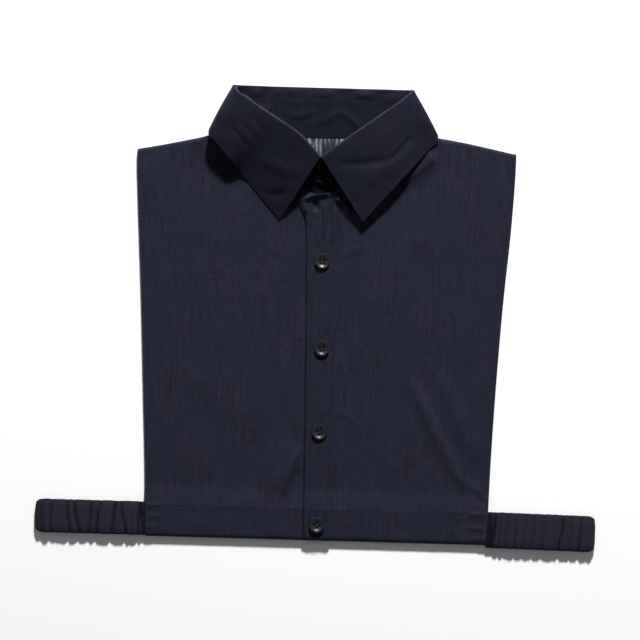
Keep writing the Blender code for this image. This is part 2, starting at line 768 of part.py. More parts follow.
def collar_leaf(material, collection):
    """Doubled fall of the collar, folded over above the stand, with a point at each front."""
    columns = []
    for side, girth in loop_places(GIRTH_STEPS):
        columns.append([tuple(point) for point in leaf_section(side, girth)])
    item, _ = open_sheet("collar_leaf", columns_to_rows(columns), material, collection)
    thicken(item, LEAF_CLOTH, 0.0)
    return item


# Straps

def gather_wave(gathers, along, up):
    """Height of a strap's gathers at a place along it, up from its middle."""
    lift = 0.0
    for gather in gathers:
        centre = gather.along + gather.lean * up / STRAP_HEIGHT
        spread = STRAP_GATHER_SPREAD * gather.half_width
        lift += gather.height * math.exp(-((along - centre) / spread) ** 2)
    return lift * smooth_step(STRAP_SEAM, STRAP_SEAM_FADE, along)


def strap_stops(gathers, length):
    """Places along a strap: the top and both feet of every gather, and its two ends."""
    stops = {0.0, STRAP_SEAM, length}
    for before, after in zip(gathers[:-1], gathers[1:]):
        stops.add((before.along + after.along) / 2.0)
    for gather in gathers:
        foot = STRAP_GATHER_FOOT * gather.half_width
        stops.update((gather.along - foot, gather.along, gather.along + foot))
    return sorted(stop for stop in stops if 0.0 <= stop <= length)


def strap(name, side, base_y, gathers, material, collection):
    """One folded loop: the front layer runs out from the front hem, the back layer returns."""
    nose_x = STRAP_END_X - STRAP_CLOTH / 2.0 - STRAP_FOLD_RADIUS
    lower_z = STRAP_CLOTH / 2.0
    upper_z = lower_z + 2.0 * STRAP_FOLD_RADIUS
    length = nose_x - side_x(HEM_DEPTH)
    stops = strap_stops(gathers, length)

    def strap_x(along, y):
        seam_x = side_x(max(y, 0.0)) + SEAM_GAP
        return seam_x + (nose_x - seam_x) * along / length

    def height_at(along, row, shift):
        end = smooth_step(length - STRAP_CORNER, length + STRAP_CORNER, along)
        share_up = row / STRAP_ROWS - 0.5
        up = share_up * STRAP_HEIGHT * (1.0 - STRAP_END_NARROWING * end)
        scallop = STRAP_SCALLOP_SHARE * share_up * gather_wave(gathers, along, up)
        return base_y + STRAP_HEIGHT / 2.0 + up - scallop - shift, up

    rows = []
    for row in range(STRAP_ROWS + 1):
        line = []
        for along in stops:
            y, up = height_at(along, row, 0.0)
            lift = gather_wave(gathers, along, up)
            line.append((side * strap_x(along, y), y, upper_z + lift))
        for step in range(1, STRAP_FOLD_STEPS):
            turn = math.radians(90.0 - 180.0 * step / STRAP_FOLD_STEPS)
            x = nose_x + STRAP_FOLD_RADIUS * math.cos(turn)
            y, _ = height_at(length + x - nose_x, row, 0.0)
            z = (upper_z + lower_z) / 2.0 + STRAP_FOLD_RADIUS * math.sin(turn)
            line.append((side * x, y, z))
        for share in STRAP_BACK_SHARES:
            along = share * length
            y, _ = height_at(along, row, STRAP_LAYER_SHIFT * (1.0 - share))
            line.append((side * strap_x(along, y), y, lower_z))
        rows.append(line)
    if side < 0:
        rows.reverse()
    item, _ = open_sheet(name, rows, material, collection)
    thicken(item, STRAP_CLOTH, 0.0)
    return item


# Buttons

def button_mesh(material, collection, cutters):
    """One button: a turned disc, dished on its face, with four holes cut through."""
    mesh = bpy.data.meshes.new("button_profile")
    points = [Vector((place.radius, 0.0, place.height)) * MM for place in BUTTON_PROFILE]
    mesh.from_pydata(points, [(index, index + 1) for index in range(len(points) - 1)], [])
    disc = bpy.data.objects.new("button_disc", mesh)
    collection.objects.link(disc)
    turned = disc.modifiers.new("turned", "SCREW")
    turned.angle = 2.0 * math.pi
    turned.steps = BUTTON_STEPS
    turned.render_steps = BUTTON_STEPS
    turned.use_merge_vertices = True
    turned.merge_threshold = BUTTON_MERGE * MM

    holes = bmesh.new()
    for x_side in (-0.5, 0.5):
        for y_side in (-0.5, 0.5):
            place = Vector((x_side, y_side, 0.0)) * (BUTTON_HOLE_SPACING * MM)
            place.z = BUTTON_HEIGHT / 2.0 * MM
            bmesh.ops.create_cone(
                holes, cap_ends=True, segments=BUTTON_HOLE_SIDES,
                radius1=BUTTON_HOLE_RADIUS * MM, radius2=BUTTON_HOLE_RADIUS * MM,
                depth=2.0 * BUTTON_HEIGHT * MM, matrix=Matrix.Translation(place),
            )
    hole_mesh = bpy.data.meshes.new("button_holes")
    holes.to_mesh(hole_mesh)
    holes.free()
    cutter = bpy.data.objects.new("button_holes", hole_mesh)
    cutter.hide_render = True
    cutter.display_type = "WIRE"
    cutters.objects.link(cutter)

    cut = disc.modifiers.new("thread_holes", "BOOLEAN")
    cut.operation = "DIFFERENCE"
    cut.object = cutter
    cut.solver = "EXACT"

    bpy.context.view_layer.update()
    evaluated = disc.evaluated_get(bpy.context.evaluated_depsgraph_get())
    finished = bpy.data.meshes.new_from_object(evaluated)
    finished.name = "button"
    finished.materials.clear()
    finished.materials.append(material)
    finished.shade_smooth()
    finished.set_sharp_from_angle(angle=BUTTON_SHARP_ANGLE)
    bpy.data.objects.remove(disc, do_unlink=True)
    return finished


def place_button(place, mesh, seat_z, collection):
    item = bpy.data.objects.new(place.name, mesh)
    turn = Euler((math.radians(place.tilt_x), math.radians(place.tilt_y), 0.0)).to_matrix()
    spin = Matrix.Rotation(math.radians(place.turn), 3, "Z")
    lean = math.radians(abs(place.tilt_x) + abs(place.tilt_y))
    edge_room = BUTTON_FOOT_RADIUS * math.sin(lean) * place.lift_for_tilt
    item.matrix_world = Matrix.LocRotScale(
        Vector((place.x, place.y, seat_z + GAP + edge_room)) * MM, turn @ spin, None
    )
    collection.objects.link(item)
    return item


def stand_face_height(x, y):
    """Height of the upper stand end's outer face at a place near centre front."""
    centre_front = COLLAR_PLAN[CENTRE_FRONT_ROW].girth
    neck = collar_point(1, centre_front, "neck")
    top = collar_point(1, centre_front, "stand")
    share = (y - neck.y) / (top.y - neck.y)
    return neck.z + (top.z - neck.z) * share + STAND_CLOTH / 2.0


def centre_on_origin(collection):
    """Move the whole part so that its box is centred in plan and stands on z = 0."""
    bpy.context.view_layer.update()
    graph = bpy.context.evaluated_depsgraph_get()
    corners = []
    for item in collection.objects:
        shown = item.evaluated_get(graph)
        mesh = shown.to_mesh()
        corners += [shown.matrix_world @ vertex.co for vertex in mesh.vertices]
        shown.to_mesh_clear()
    low = Vector([min(corner[axis] for corner in corners) for axis in range(3)])
    high = Vector([max(corner[axis] for corner in corners) for axis in range(3)])
    shift = Vector((-(low.x + high.x) / 2.0, -(low.y + high.y) / 2.0, -low.z))
    for item in collection.objects:
        item.location += shift


def main():
    clear_scene()
    collection = bpy.data.collections.new(COLLECTION_NAME)
    cutters = bpy.data.collections.new("cutters")
    bpy.context.scene.collection.children.link(collection)
    bpy.context.scene.collection.children.link(cutters)

    back_panel(make_material("back_cloth", BIB_CLOTH), collection)
    front_right_panel(make_material("front_right_cloth", BIB_CLOTH), collection)
    front_left_panel(make_material("front_left_cloth", BIB_CLOTH), collection)
    placket(make_material("placket_cloth", PLACKET_FINISH), collection)
    collar_stand(make_material("stand_cloth", COLLAR_CLOTH), collection)
    collar_leaf(make_material("leaf_cloth", COLLAR_CLOTH), collection)
    strap_cloth = make_material("strap_cloth", STRAP_FINISH)
    strap("left_strap", -1, LEFT_STRAP_BASE, LEFT_GATHERS, strap_cloth, collection)
    strap("right_strap", 1, RIGHT_STRAP_BASE, RIGHT_GATHERS, strap_cloth.copy(), collection)

    button = button_mesh(make_material("button_gloss", BUTTON_FINISH), collection, cutters)
    placket_face = GAP + PLACKET_CLOTH
    for place in PLACKET_BUTTONS:
        seat = max(front_height(place.x + offset, place.y + BUTTON_RADIUS * side)
                   for offset in (-BUTTON_RADIUS, 0.0, BUTTON_RADIUS) for side in (-1, 0, 1))
        place_button(place, button, seat + placket_face, collection)
    stand_face = stand_face_height(NECK_BUTTON.x, NECK_BUTTON.y)
    place_button(NECK_BUTTON, button, stand_face, collection)
    centre_on_origin(collection)


main()
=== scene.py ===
"""Detachable shirt collar, laid flat with its front up: the looks of its cloth, thread and buttons.

The garment's own sizes are in millimetres, +X across the bib, +Y from the hem to the collar and
+Z up from the surface. The wearer's right front is on the -X side, and "left" and "right" in the
names of collar sides are as seen from above.
"""

import math
from collections import namedtuple

import bpy
import numpy as np
from mathutils import Euler, Matrix, Vector, noise


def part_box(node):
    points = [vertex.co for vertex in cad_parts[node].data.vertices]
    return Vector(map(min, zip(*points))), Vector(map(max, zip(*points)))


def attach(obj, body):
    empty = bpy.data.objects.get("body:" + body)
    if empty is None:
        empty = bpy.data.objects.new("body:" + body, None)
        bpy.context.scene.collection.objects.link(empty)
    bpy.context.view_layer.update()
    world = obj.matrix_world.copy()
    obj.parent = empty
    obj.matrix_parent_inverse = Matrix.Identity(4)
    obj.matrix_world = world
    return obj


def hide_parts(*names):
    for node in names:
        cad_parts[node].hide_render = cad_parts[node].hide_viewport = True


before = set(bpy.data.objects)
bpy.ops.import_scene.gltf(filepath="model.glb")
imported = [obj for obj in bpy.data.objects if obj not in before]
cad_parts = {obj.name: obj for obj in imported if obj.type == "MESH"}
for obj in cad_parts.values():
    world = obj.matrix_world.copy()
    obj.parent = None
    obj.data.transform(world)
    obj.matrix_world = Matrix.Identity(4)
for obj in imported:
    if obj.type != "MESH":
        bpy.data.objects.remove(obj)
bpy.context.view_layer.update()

MM = 0.001
HEM_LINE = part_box("placket")[0].y


def in_frame(points):
    """Points of the garment, in millimetres, as points of the frame, in metres."""
    placed = np.asarray(points, dtype=float) * MM
    placed[..., 1] += HEM_LINE
    return placed


# Camera: straight above the garment, which lies turned a little clockwise in the picture.
# The lens is long, so that the collar's height hardly changes its size.
PICTURE_PIXELS = 640
PIXEL = 0.84
CAMERA_HEIGHT = 2600.0
CAMERA_OVER_X = -0.5
CAMERA_OVER_Y = 185.1
CAMERA_ROLL = math.radians(1.6)
CAMERA_SEES_TO = 20000.0
SENSOR = 36.0

camera_data = bpy.data.cameras.new("view_from_above")
camera_data.sensor_width = SENSOR
camera_data.lens = SENSOR * CAMERA_HEIGHT / (PICTURE_PIXELS * PIXEL)
camera_data.clip_end = CAMERA_SEES_TO * MM
camera = bpy.data.objects.new("view_from_above", camera_data)
camera.location = Vector(in_frame((CAMERA_OVER_X, CAMERA_OVER_Y, CAMERA_HEIGHT)))
camera.rotation_euler = (0.0, 0.0, CAMERA_ROLL)
bpy.context.scene.collection.objects.link(camera)
bpy.context.scene.camera = camera


# Light: one soft window-like lamp low beyond the collar, and pale light from all round.
# It draws the shadows of the collar leaf down over the bib.
KEY_ACROSS = 300.0
KEY_BEYOND = 2850.0
KEY_UP = 1650.0
KEY_SIZE = 370.0
KEY_POWER = 218.0
ROOM_BRIGHTNESS = 0.17
ROOM_COLOUR = (0.97, 0.98, 1.0, 1.0)

key_data = bpy.data.lights.new("key_light", "AREA")
key_data.shape = "DISK"
key_data.size = KEY_SIZE * MM
key_data.energy = KEY_POWER
key = bpy.data.objects.new("key_light", key_data)
key.location = Vector(in_frame((KEY_ACROSS, CAMERA_OVER_Y + KEY_BEYOND, KEY_UP)))
towards = Vector(in_frame((0.0, CAMERA_OVER_Y, 0.0))) - key.location
key.rotation_euler = towards.to_track_quat("-Z", "Y").to_euler()
bpy.context.scene.collection.objects.link(key)

room = bpy.data.worlds.new("pale_room")
room.use_nodes = True
room.node_tree.nodes["Background"].inputs["Color"].default_value = ROOM_COLOUR
room.node_tree.nodes["Background"].inputs["Strength"].default_value = ROOM_BRIGHTNESS
bpy.context.scene.world = room
bpy.context.scene.view_settings.view_transform = "Standard"


# Floor: a plain white table top under the whole garment, painted matt. It is not part of the
# garment, and carries only its soft shadow.
FLOOR_HALF_SIZE = 3000.0
FLOOR_DEPTH = 0.3
FLOOR_COLOUR = (0.93, 0.93, 0.93, 1.0)
FLOOR_ROUGHNESS = 0.9


def mesh_object(name, points, faces, edges=()):
    mesh = bpy.data.meshes.new(name)
    mesh.from_pydata([tuple(point) for point in in_frame(points)], list(edges), faces)
    mesh.update()
    item = bpy.data.objects.new(name, mesh)
    bpy.context.scene.collection.objects.link(item)
    return item


floor = mesh_object(
    "white_table",
    [(x * FLOOR_HALF_SIZE, y * FLOOR_HALF_SIZE, -FLOOR_DEPTH)
     for x, y in ((-1, -1), (1, -1), (1, 1), (-1, 1))],
    [(0, 1, 2, 3)],
)
floor_paint = bpy.data.materials.new("white_paint")
floor_paint.use_nodes = True
floor_shader = floor_paint.node_tree.nodes["Principled BSDF"]
floor_shader.inputs["Base Color"].default_value = FLOOR_COLOUR
floor_shader.inputs["Roughness"].default_value = FLOOR_ROUGHNESS
floor.data.materials.append(floor_paint)


# Back panel: the back of the bib, one layer of dark navy slub cotton that lies on the table with
# its outside down. Its hem is turned up and stitched, and its neck edge is gathered into the
# collar stand, which leaves a row of small bright ridges below the seam. Their brightness is
# painted: a painted highlight on the crests and painted shade in the troughs, over paler colours
# on the cloth's inside.
BIB_WALL = 0.8
BIB_HEM_WALL = 2.2
STITCHED_HEM = 27.5
HEM_STEP_DOWN = 2.0
HEM_STITCH_INSET = 1.5
HEM_ROUNDING = 3.6
HEM_EDGE_STEPS = 6
SEAM_ROOM = 0.4
RIM_ROUNDING = 0.1
RIM_STEPS = 2
RIM_CORNER = math.radians(60.0)
COLLAR_CENTRE_X = -3.5

Side = namedtuple("Side", "height left right")
BIB_SIDES = (
    Side(0.0, 141.8, 143.6),
    Side(30.0, 142.9, 145.0),
    Side(60.0, 143.8, 145.7),
    Side(115.0, 146.4, 147.8),
    Side(200.0, 150.7, 152.5),
    Side(270.0, 154.9, 158.0),
    Side(315.0, 157.3, 160.2),
    Side(330.0, 157.7, 160.4),
)
ShoulderPlace = namedtuple("ShoulderPlace", "across left right")
SHOULDER_SEAM = (
    ShoulderPlace(85.0, 341.2, 341.2),
    ShoulderPlace(98.0, 336.6, 340.3),
    ShoulderPlace(118.0, 331.9, 337.4),
    ShoulderPlace(135.0, 328.2, 334.2),
    ShoulderPlace(162.0, 323.0, 328.7),
)
SHOULDER_GUESS = 330.0
SETTLE_ROUNDS = 6
NeckPlace = namedtuple("NeckPlace", "across height")
BACK_NECK = (
    NeckPlace(0.0, 337.5),
    NeckPlace(45.0, 338.0),
    NeckPlace(72.0, 339.4),
    NeckPlace(82.5, 341.2),
    NeckPlace(85.0, 341.7),
)
BACK_SIDE_ROOM = 0.6
BACK_INSET = 2.7
BACK_INSET_START = 85.0
BACK_INSET_FULL = 93.0
LEAF_UNDER_BACK = 1.7
LEAF_UNDER_START = 318.0
LEAF_UNDER_END = 331.0
LEAF_SIDE_START = 89.0
LEAF_SIDE_END = 97.0
LEAF_CORNER_EXTRA = 0.5
LEAF_CORNER_START = 70.0
LEAF_CORNER_END = 80.0

BACK_GATHERS = 44
BACK_GATHER_PITCH = 3.4
BACK_GATHER_HEIGHT = 1.35
BACK_GATHER_START = 300.0
BACK_GATHER_FULL = 330.0
BACK_GATHER_TOP = 338.0
BACK_GATHER_END_FADE = 4.0
BACK_GATHER_USUAL = 0.72
BACK_GATHER_WEAKEST = 0.15
BACK_GATHER_STRONGEST = 1.1
BACK_COLUMN_STEP = 0.85
BACK_SIDE_COLUMN_STEP = 3.0
BACK_ROW_STEP = 2.6
BACK_GATHER_ROW_STEP = 1.0

Uneven = namedtuple("Uneven", "amount size_x size_y seed")
GATHER_WANDER = Uneven(0.9, 11.0, 22.0, 3.1)
GATHER_JITTER = Uneven(0.25, 4.0, 9.0, 5.3)
GATHER_STRENGTH = Uneven(0.9, 4.2, 16.0, 7.7)
BACK_WAVES = Uneven(0.5, 34.0, 60.0, 1.4)
BACK_QUIET = 14.0

Crease = namedtuple("Crease", "start_x start_y bend_x bend_y end_x end_y half_width height")
BACK_CREASES = (
    Crease(-120.0, 290.0, -96.0, 210.0, -104.0, 120.0, 9.0, 0.8),
    Crease(92.0, 60.0, 60.0, 140.0, 84.0, 230.0, 8.0, 0.7),
    Crease(-40.0, 40.0, 0.0, 62.0, 44.0, 44.0, 7.0, 0.6),
    Crease(118.0, 300.0, 96.0, 276.0, 100.0, 240.0, 7.0, 0.7),
)
CREASE_STEPS = 10
CREASE_FADE = 0.3


def smooth_step(start, end, value):
    share = np.clip((np.asarray(value, dtype=float) - start) / (end - start), 0.0, 1.0)
    return share * share * (3.0 - 2.0 * share)


def curve_value(table, stop, column, at):
    """Values of a table's column on a smooth curve that never overshoots the table's rows."""
    stops = np.array([getattr(row, stop) for row in table])
    values = np.array([getattr(row, column) for row in table])
    widths = np.diff(stops)
    slopes = np.diff(values) / widths
    product = slopes[:-1] * slopes[1:]
    total = np.where(product > 0.0, slopes[:-1] + slopes[1:], 1.0)
    inner = np.where(product > 0.0, 2.0 * product / total, 0.0)
    bends = np.concatenate((slopes[:1], inner, slopes[-1:]))
    cell = np.clip(np.searchsorted(stops, at, side="right") - 1, 0, len(widths) - 1)
    share = np.clip((at - stops[cell]) / widths[cell], 0.0, 1.0)
    level = (2.0 * share ** 3 - 3.0 * share ** 2 + 1.0) * values[cell]
    level = level + (3.0 * share ** 2 - 2.0 * share ** 3) * values[cell + 1]
    leave = (share ** 3 - 2.0 * share ** 2 + share) * bends[cell]
    arrive = (share ** 3 - share ** 2) * bends[cell + 1]
    return level + widths[cell] * (leave + arrive)


def side_x(y, side):
    return curve_value(BIB_SIDES, "height", "left" if side < 0 else "right", y)


def shoulder_y(from_centre):
    left = curve_value(SHOULDER_SEAM, "across", "left", -from_centre)
    right = curve_value(SHOULDER_SEAM, "across", "right", from_centre)
    return np.where(from_centre < 0.0, left, right)


def near_line(line, x, y):
    """Distance of places to a line in plan, and the share of the line that lies before them."""
    best = np.full(np.shape(x), np.inf)
    passed = np.zeros(np.shape(x))
    cells = len(line) - 1
    for cell in range(cells):
        start_x, start_y = line[cell][0], line[cell][1]
        run_x, run_y = line[cell + 1][0] - start_x, line[cell + 1][1] - start_y
        share = ((x - start_x) * run_x + (y - start_y) * run_y) / (run_x ** 2 + run_y ** 2)
        share = np.clip(share, 0.0, 1.0)
        distance = np.hypot(x - start_x - share * run_x, y - start_y - share * run_y)
        nearer = distance < best
        best = np.where(nearer, distance, best)
        passed = np.where(nearer, (cell + share) / cells, passed)
    return best, passed


def crease_height(creases, x, y):
    """Soft ridges and troughs along bent lines, which fade out at both ends."""
    total = np.zeros(np.shape(x))
    for crease in creases:
        line = []
        for step in range(CREASE_STEPS + 1):
            share = step / CREASE_STEPS
            away = 1.0 - share
            line.append((
                away ** 2 * crease.start_x + 2.0 * away * share * crease.bend_x + share ** 2 * crease.end_x,
                away ** 2 * crease.start_y + 2.0 * away * share * crease.bend_y + share ** 2 * crease.end_y,
            ))
        distance, passed = near_line(line, x, y)
        ends = smooth_step(0.0, CREASE_FADE, passed) * smooth_step(0.0, CREASE_FADE, 1.0 - passed)
        total = total + crease.height * np.exp(-(distance / crease.half_width) ** 2) * ends
    return total


def crumple(x, y, uneven):
    """Uneven soft waves of up to the amount both ways, of one size across and another along."""
    places = zip(np.ravel(x) / uneven.size_x, np.ravel(y) / uneven.size_y)
    waves = [noise.noise(Vector((across, along, uneven.seed))) for across, along in places]
    return uneven.amount * np.reshape(waves, np.shape(x))


def leaf_under_height(x, y):
    """How far the collar leaf's lower edge, which is tucked under it, lifts the back panel."""
    across = np.abs(x - COLLAR_CENTRE_X)
    fade = 1.0 - smooth_step(LEAF_SIDE_START, LEAF_SIDE_END, across)
    corner = LEAF_CORNER_EXTRA * smooth_step(LEAF_CORNER_START, LEAF_CORNER_END, across)
    return (LEAF_UNDER_BACK + corner) * smooth_step(LEAF_UNDER_START, LEAF_UNDER_END, y) * fade


def back_neck_y(x):
    across = np.abs(x - COLLAR_CENTRE_X)
    inset = BACK_INSET * smooth_step(BACK_INSET_START, BACK_INSET_FULL, across)
    beyond = shoulder_y(x - COLLAR_CENTRE_X) - SEAM_ROOM - inset
    under = curve_value(BACK_NECK, "across", "height", across) - SEAM_ROOM
    return np.where(across >= SHOULDER_SEAM[0].across, beyond, under)


def back_gather_crest(x, y):
    """Gathers of the back's neck edge, from 0 in a trough to 1 on a crest: narrow and uneven."""
    across = x - COLLAR_CENTRE_X
    reach = BACK_GATHERS * BACK_GATHER_PITCH / 2.0
    wander = crumple(across, y, GATHER_WANDER) + crumple(across, y, GATHER_JITTER)
    wave = 0.5 + 0.5 * np.cos(2.0 * math.pi * (across / BACK_GATHER_PITCH + wander))
    strength = BACK_GATHER_USUAL + crumple(across, y, GATHER_STRENGTH)
    strength = np.clip(strength, BACK_GATHER_WEAKEST, BACK_GATHER_STRONGEST)
    inside = 1.0 - smooth_step(reach - BACK_GATHER_END_FADE, reach, np.abs(across))
    return wave * strength * inside * smooth_step(BACK_GATHER_START, BACK_GATHER_FULL, y)


def back_gather_height(x, y):
    return BACK_GATHER_HEIGHT * back_gather_crest(x, y)


def hem_fullness(y):
    """Share of the turned-up hem's thickness, rounded off at the edge and ending at the stitches."""
    inside = 1.0 - np.clip(np.asarray(y, dtype=float) / HEM_ROUNDING, 0.0, 1.0)
    return np.sqrt(1.0 - inside ** 2) * (1.0 - smooth_step(STITCHED_HEM, STITCHED_HEM + HEM_STEP_DOWN, y))


def back_height(x, y):
    """Height of the back panel's underside, which is its outside."""
    level = leaf_under_height(x, y) + back_gather_height(x, y)
    soft = np.maximum(crumple(x, y, BACK_WAVES), 0.0)
    quiet = smooth_step(STITCHED_HEM, STITCHED_HEM + BACK_QUIET, y)
    return level + (soft + crease_height(BACK_CREASES, x, y)) * quiet


class Amount:
    """A number that varies over a surface: the output of a node, written in sums and products."""

    def __init__(self, look, socket):
        self.look = look
        self.socket = socket

    def joined(self, operation, first, second):
        return self.look.add("ShaderNodeMath", {"operation": operation}, {0: first, 1: second})

    def __add__(self, other):
        return self.joined("ADD", self, other)

    def __radd__(self, other):
        return self.joined("ADD", other, self)

    def __sub__(self, other):
        return self.joined("SUBTRACT", self, other)

    def __rsub__(self, other):
        return self.joined("SUBTRACT", other, self)

    def __mul__(self, other):
        return self.joined("MULTIPLY", self, other)

    def __rmul__(self, other):
        return self.joined("MULTIPLY", other, self)


MIX_SHARE = 0
MIX_FIRST = 6
MIX_SECOND = 7
MIX_RESULT = 2
OBJECT_PLACE = 3
ATTRIBUTE_VALUE = 2


class Look:
    """One material: its shader, and one way to add every other node."""

    def __init__(self, name, roughness):
        self.material = bpy.data.materials.new(name)
        self.material.use_nodes = True
        self.tree = self.material.node_tree
        self.shader = self.tree.nodes["Principled BSDF"]
        self.shader.inputs["Roughness"].default_value = roughness

    def feed(self, socket, value):
        if isinstance(value, Amount):
            self.tree.links.new(value.socket, socket)
        else:
            socket.default_value = value

    def add(self, kind, settings, sockets, output=0):
        node = self.tree.nodes.new(kind)
        for name, value in settings.items():
            setattr(node, name, value)
        for name, value in sockets.items():
            self.feed(node.inputs[name], value)
        return Amount(self, node.outputs[output])

    def blend(self, share, first, second):
        first, second = (
            (*shade, 1.0) if isinstance(shade, tuple) else shade for shade in (first, second))
        return self.add(
            "ShaderNodeMix", {"data_type": "RGBA", "clamp_factor": True},
            {MIX_SHARE: share, MIX_FIRST: first, MIX_SECOND: second}, output=MIX_RESULT,
        )

    def pattern(self, vector, scale, detail, roughness):
        return self.add(
            "ShaderNodeTexNoise", {"noise_dimensions": "3D"},
            {"Vector": vector, "Scale": scale, "Detail": detail, "Roughness": roughness},
        )

    def yarns(self, cut, yarn):
        """Uneven streaks on the flat cut, as wide and as long as the yarn says in millimetres."""
        stretched = self.add(
            "ShaderNodeMapping", {"vector_type": "POINT"},
            {"Vector": cut, "Location": (yarn.place, yarn.place, yarn.place),
             "Scale": (1.0 / (yarn.size_x * MM), 1.0 / (yarn.size_y * MM), 1.0)},
        )
        return self.pattern(stretched, 1.0, yarn.detail, yarn.roughness)

    def relief(self, height, strength, depth):
        """Fine relief of a height pattern, up to a depth in millimetres."""
        normal = self.add(
            "ShaderNodeBump", {}, {"Strength": strength, "Distance": depth * MM, "Height": height})
        self.feed(self.shader.inputs["Normal"], normal)


Dye = namedtuple("Dye", "deep middle pale")
BIB_DYE = Dye((0.0080, 0.0082, 0.0173), (0.0127, 0.0129, 0.0258), (0.0184, 0.0182, 0.0350))
BIB_BLUE = (0.0096, 0.0128, 0.0250)
BIB_ROUGHNESS = 0.74
# Colours of the back panel's inside face, paler than the bib's outside.
INSIDE_COLOURS = Dye((0.0150, 0.0155, 0.0260), (0.0300, 0.0310, 0.0470), (0.0480, 0.0490, 0.0700))
INSIDE_BLUE = (0.026, 0.031, 0.048)
ShadeAndHighlight = namedtuple("ShadeAndHighlight", "trough crest")
PLAIN_CREST = 0.3
# Painted shade for the troughs of the neck gathers, and a painted highlight for their crests.
NECK_GATHER_SHADE_AND_HIGHLIGHT = ShadeAndHighlight((0.020, 0.020, 0.036), (0.245, 0.250, 0.320))
Yarn = namedtuple("Yarn", "size_x size_y place detail roughness colour relief")
FINE_YARN = Yarn(0.8, 9.0, 0.0, 3.0, 0.65, 2.4, 1.2)
SLUB_YARN = Yarn(2.2, 34.0, 5.0, 2.0, 0.5, 1.8, 1.4)
CROSS_YARN = Yarn(12.0, 0.9, 9.0, 2.0, 0.6, 2.2, 0.5)
DYE_CLOUD = Yarn(26.0, 48.0, 2.0, 2.0, 0.5, 3.4, 0.0)
STREAK_LEVEL = 2.7
CLOUD_LEVEL = 0.42
COOL_SHARE = 0.75
TROUGH_CONTRAST = 3.4
CREST_CONTRAST = 1.7
THREAD_PITCH = 0.42
WAVE_TURNS = 20.0
WEAVE_RELIEF = 0.3
COTTON_RELIEF = 0.35
COTTON_DEPTH = 0.12
COTTON_SHEEN = 0.03
COTTON_SHEEN_ROUGHNESS = 0.45
COTTON_SHEEN_COLOUR = (0.80, 0.82, 1.0, 1.0)
COTTON_GLOSS = 0.10
STREAK_GLOSS = 0.08


def slub_cotton(name, dye, cool, roughness, streaks=0.74, gathers=None):
    """Plain-woven cotton with uneven yarns along the cut, a cool and a warm cast and a sheen.

    On gathered or folded cloth the crests get a painted highlight, and troughs and the placket's free edge
    get painted shade.
    """
    look = Look(name, roughness)
    cut = look.add("ShaderNodeUVMap", {"uv_map": "cut"}, {})
    fine = look.yarns(cut, FINE_YARN)
    slub = look.yarns(cut, SLUB_YARN)
    cross = look.yarns(cut, CROSS_YARN)
    cloud = look.yarns(cut, DYE_CLOUD)
    streak = fine * FINE_YARN.colour + slub * SLUB_YARN.colour + cross * CROSS_YARN.colour - STREAK_LEVEL
    body = look.blend(streak, dye.deep, dye.pale)
    even = look.blend(1.0 - streaks, body, dye.middle)
    tint = look.blend((cloud - CLOUD_LEVEL) * DYE_CLOUD.colour, even, cool)
    colour = look.blend(COOL_SHARE, even, tint)
    # Painted light: troughs, and the placket's free edge, are blended towards a painted-shade colour, and
    # crests towards a painted-highlight colour.
    if gathers:
        crest = look.add(
            "ShaderNodeAttribute", {"attribute_name": "crest"}, {}, output=ATTRIBUTE_VALUE)
        trough = look.blend(crest * TROUGH_CONTRAST, gathers.trough, colour)
        colour = look.blend((crest - PLAIN_CREST) * CREST_CONTRAST, trough, gathers.crest)
    look.feed(look.shader.inputs["Base Color"], colour)
    wave = WAVE_TURNS * THREAD_PITCH * MM / (2.0 * math.pi)
    warp = look.add("ShaderNodeTexWave", {"bands_direction": "X"}, {"Vector": cut, "Scale": 1.0 / wave})
    weft = look.add("ShaderNodeTexWave", {"bands_direction": "Y"}, {"Vector": cut, "Scale": 1.0 / wave})
    weave = warp * WEAVE_RELIEF + weft * WEAVE_RELIEF
    height = weave + fine * FINE_YARN.relief + slub * SLUB_YARN.relief + cross * CROSS_YARN.relief
    look.relief(height, COTTON_RELIEF, COTTON_DEPTH)
    look.feed(look.shader.inputs["Roughness"], roughness - (streak - 0.5) * STREAK_GLOSS)
    look.shader.inputs["Sheen Weight"].default_value = COTTON_SHEEN
    look.shader.inputs["Sheen Roughness"].default_value = COTTON_SHEEN_ROUGHNESS
    look.shader.inputs["Sheen Tint"].default_value = COTTON_SHEEN_COLOUR
    look.shader.inputs["Specular IOR Level"].default_value = COTTON_GLOSS
    return look.material


def cell_corners(grid):
    """The four corners of every cell of a grid, in the order of a face."""
    return np.stack((grid[:-1, :-1], grid[:-1, 1:], grid[1:, 1:], grid[1:, :-1]), axis=2)


def cloth_grid(name, points, cut, material, ring=False):
    """A sheet of cloth from rows and columns of points. cut gives its flat pattern in millimetres.

    In a ring the last row is joined to the first, and cut has one row more than the points.
    """
    rows, columns = points.shape[:2]
    index = np.arange(rows * columns).reshape(rows, columns)
    if ring:
        index = np.concatenate((index, index[:1]))
    item = mesh_object(name, points.reshape(-1, 3), cell_corners(index).reshape(-1, 4).tolist())
    pattern = item.data.uv_layers.new(name="cut")
    pattern.data.foreach_set("uv", (cell_corners(cut) * MM).ravel())
    item.data.shade_smooth()
    item.data.materials.append(material)
    return item


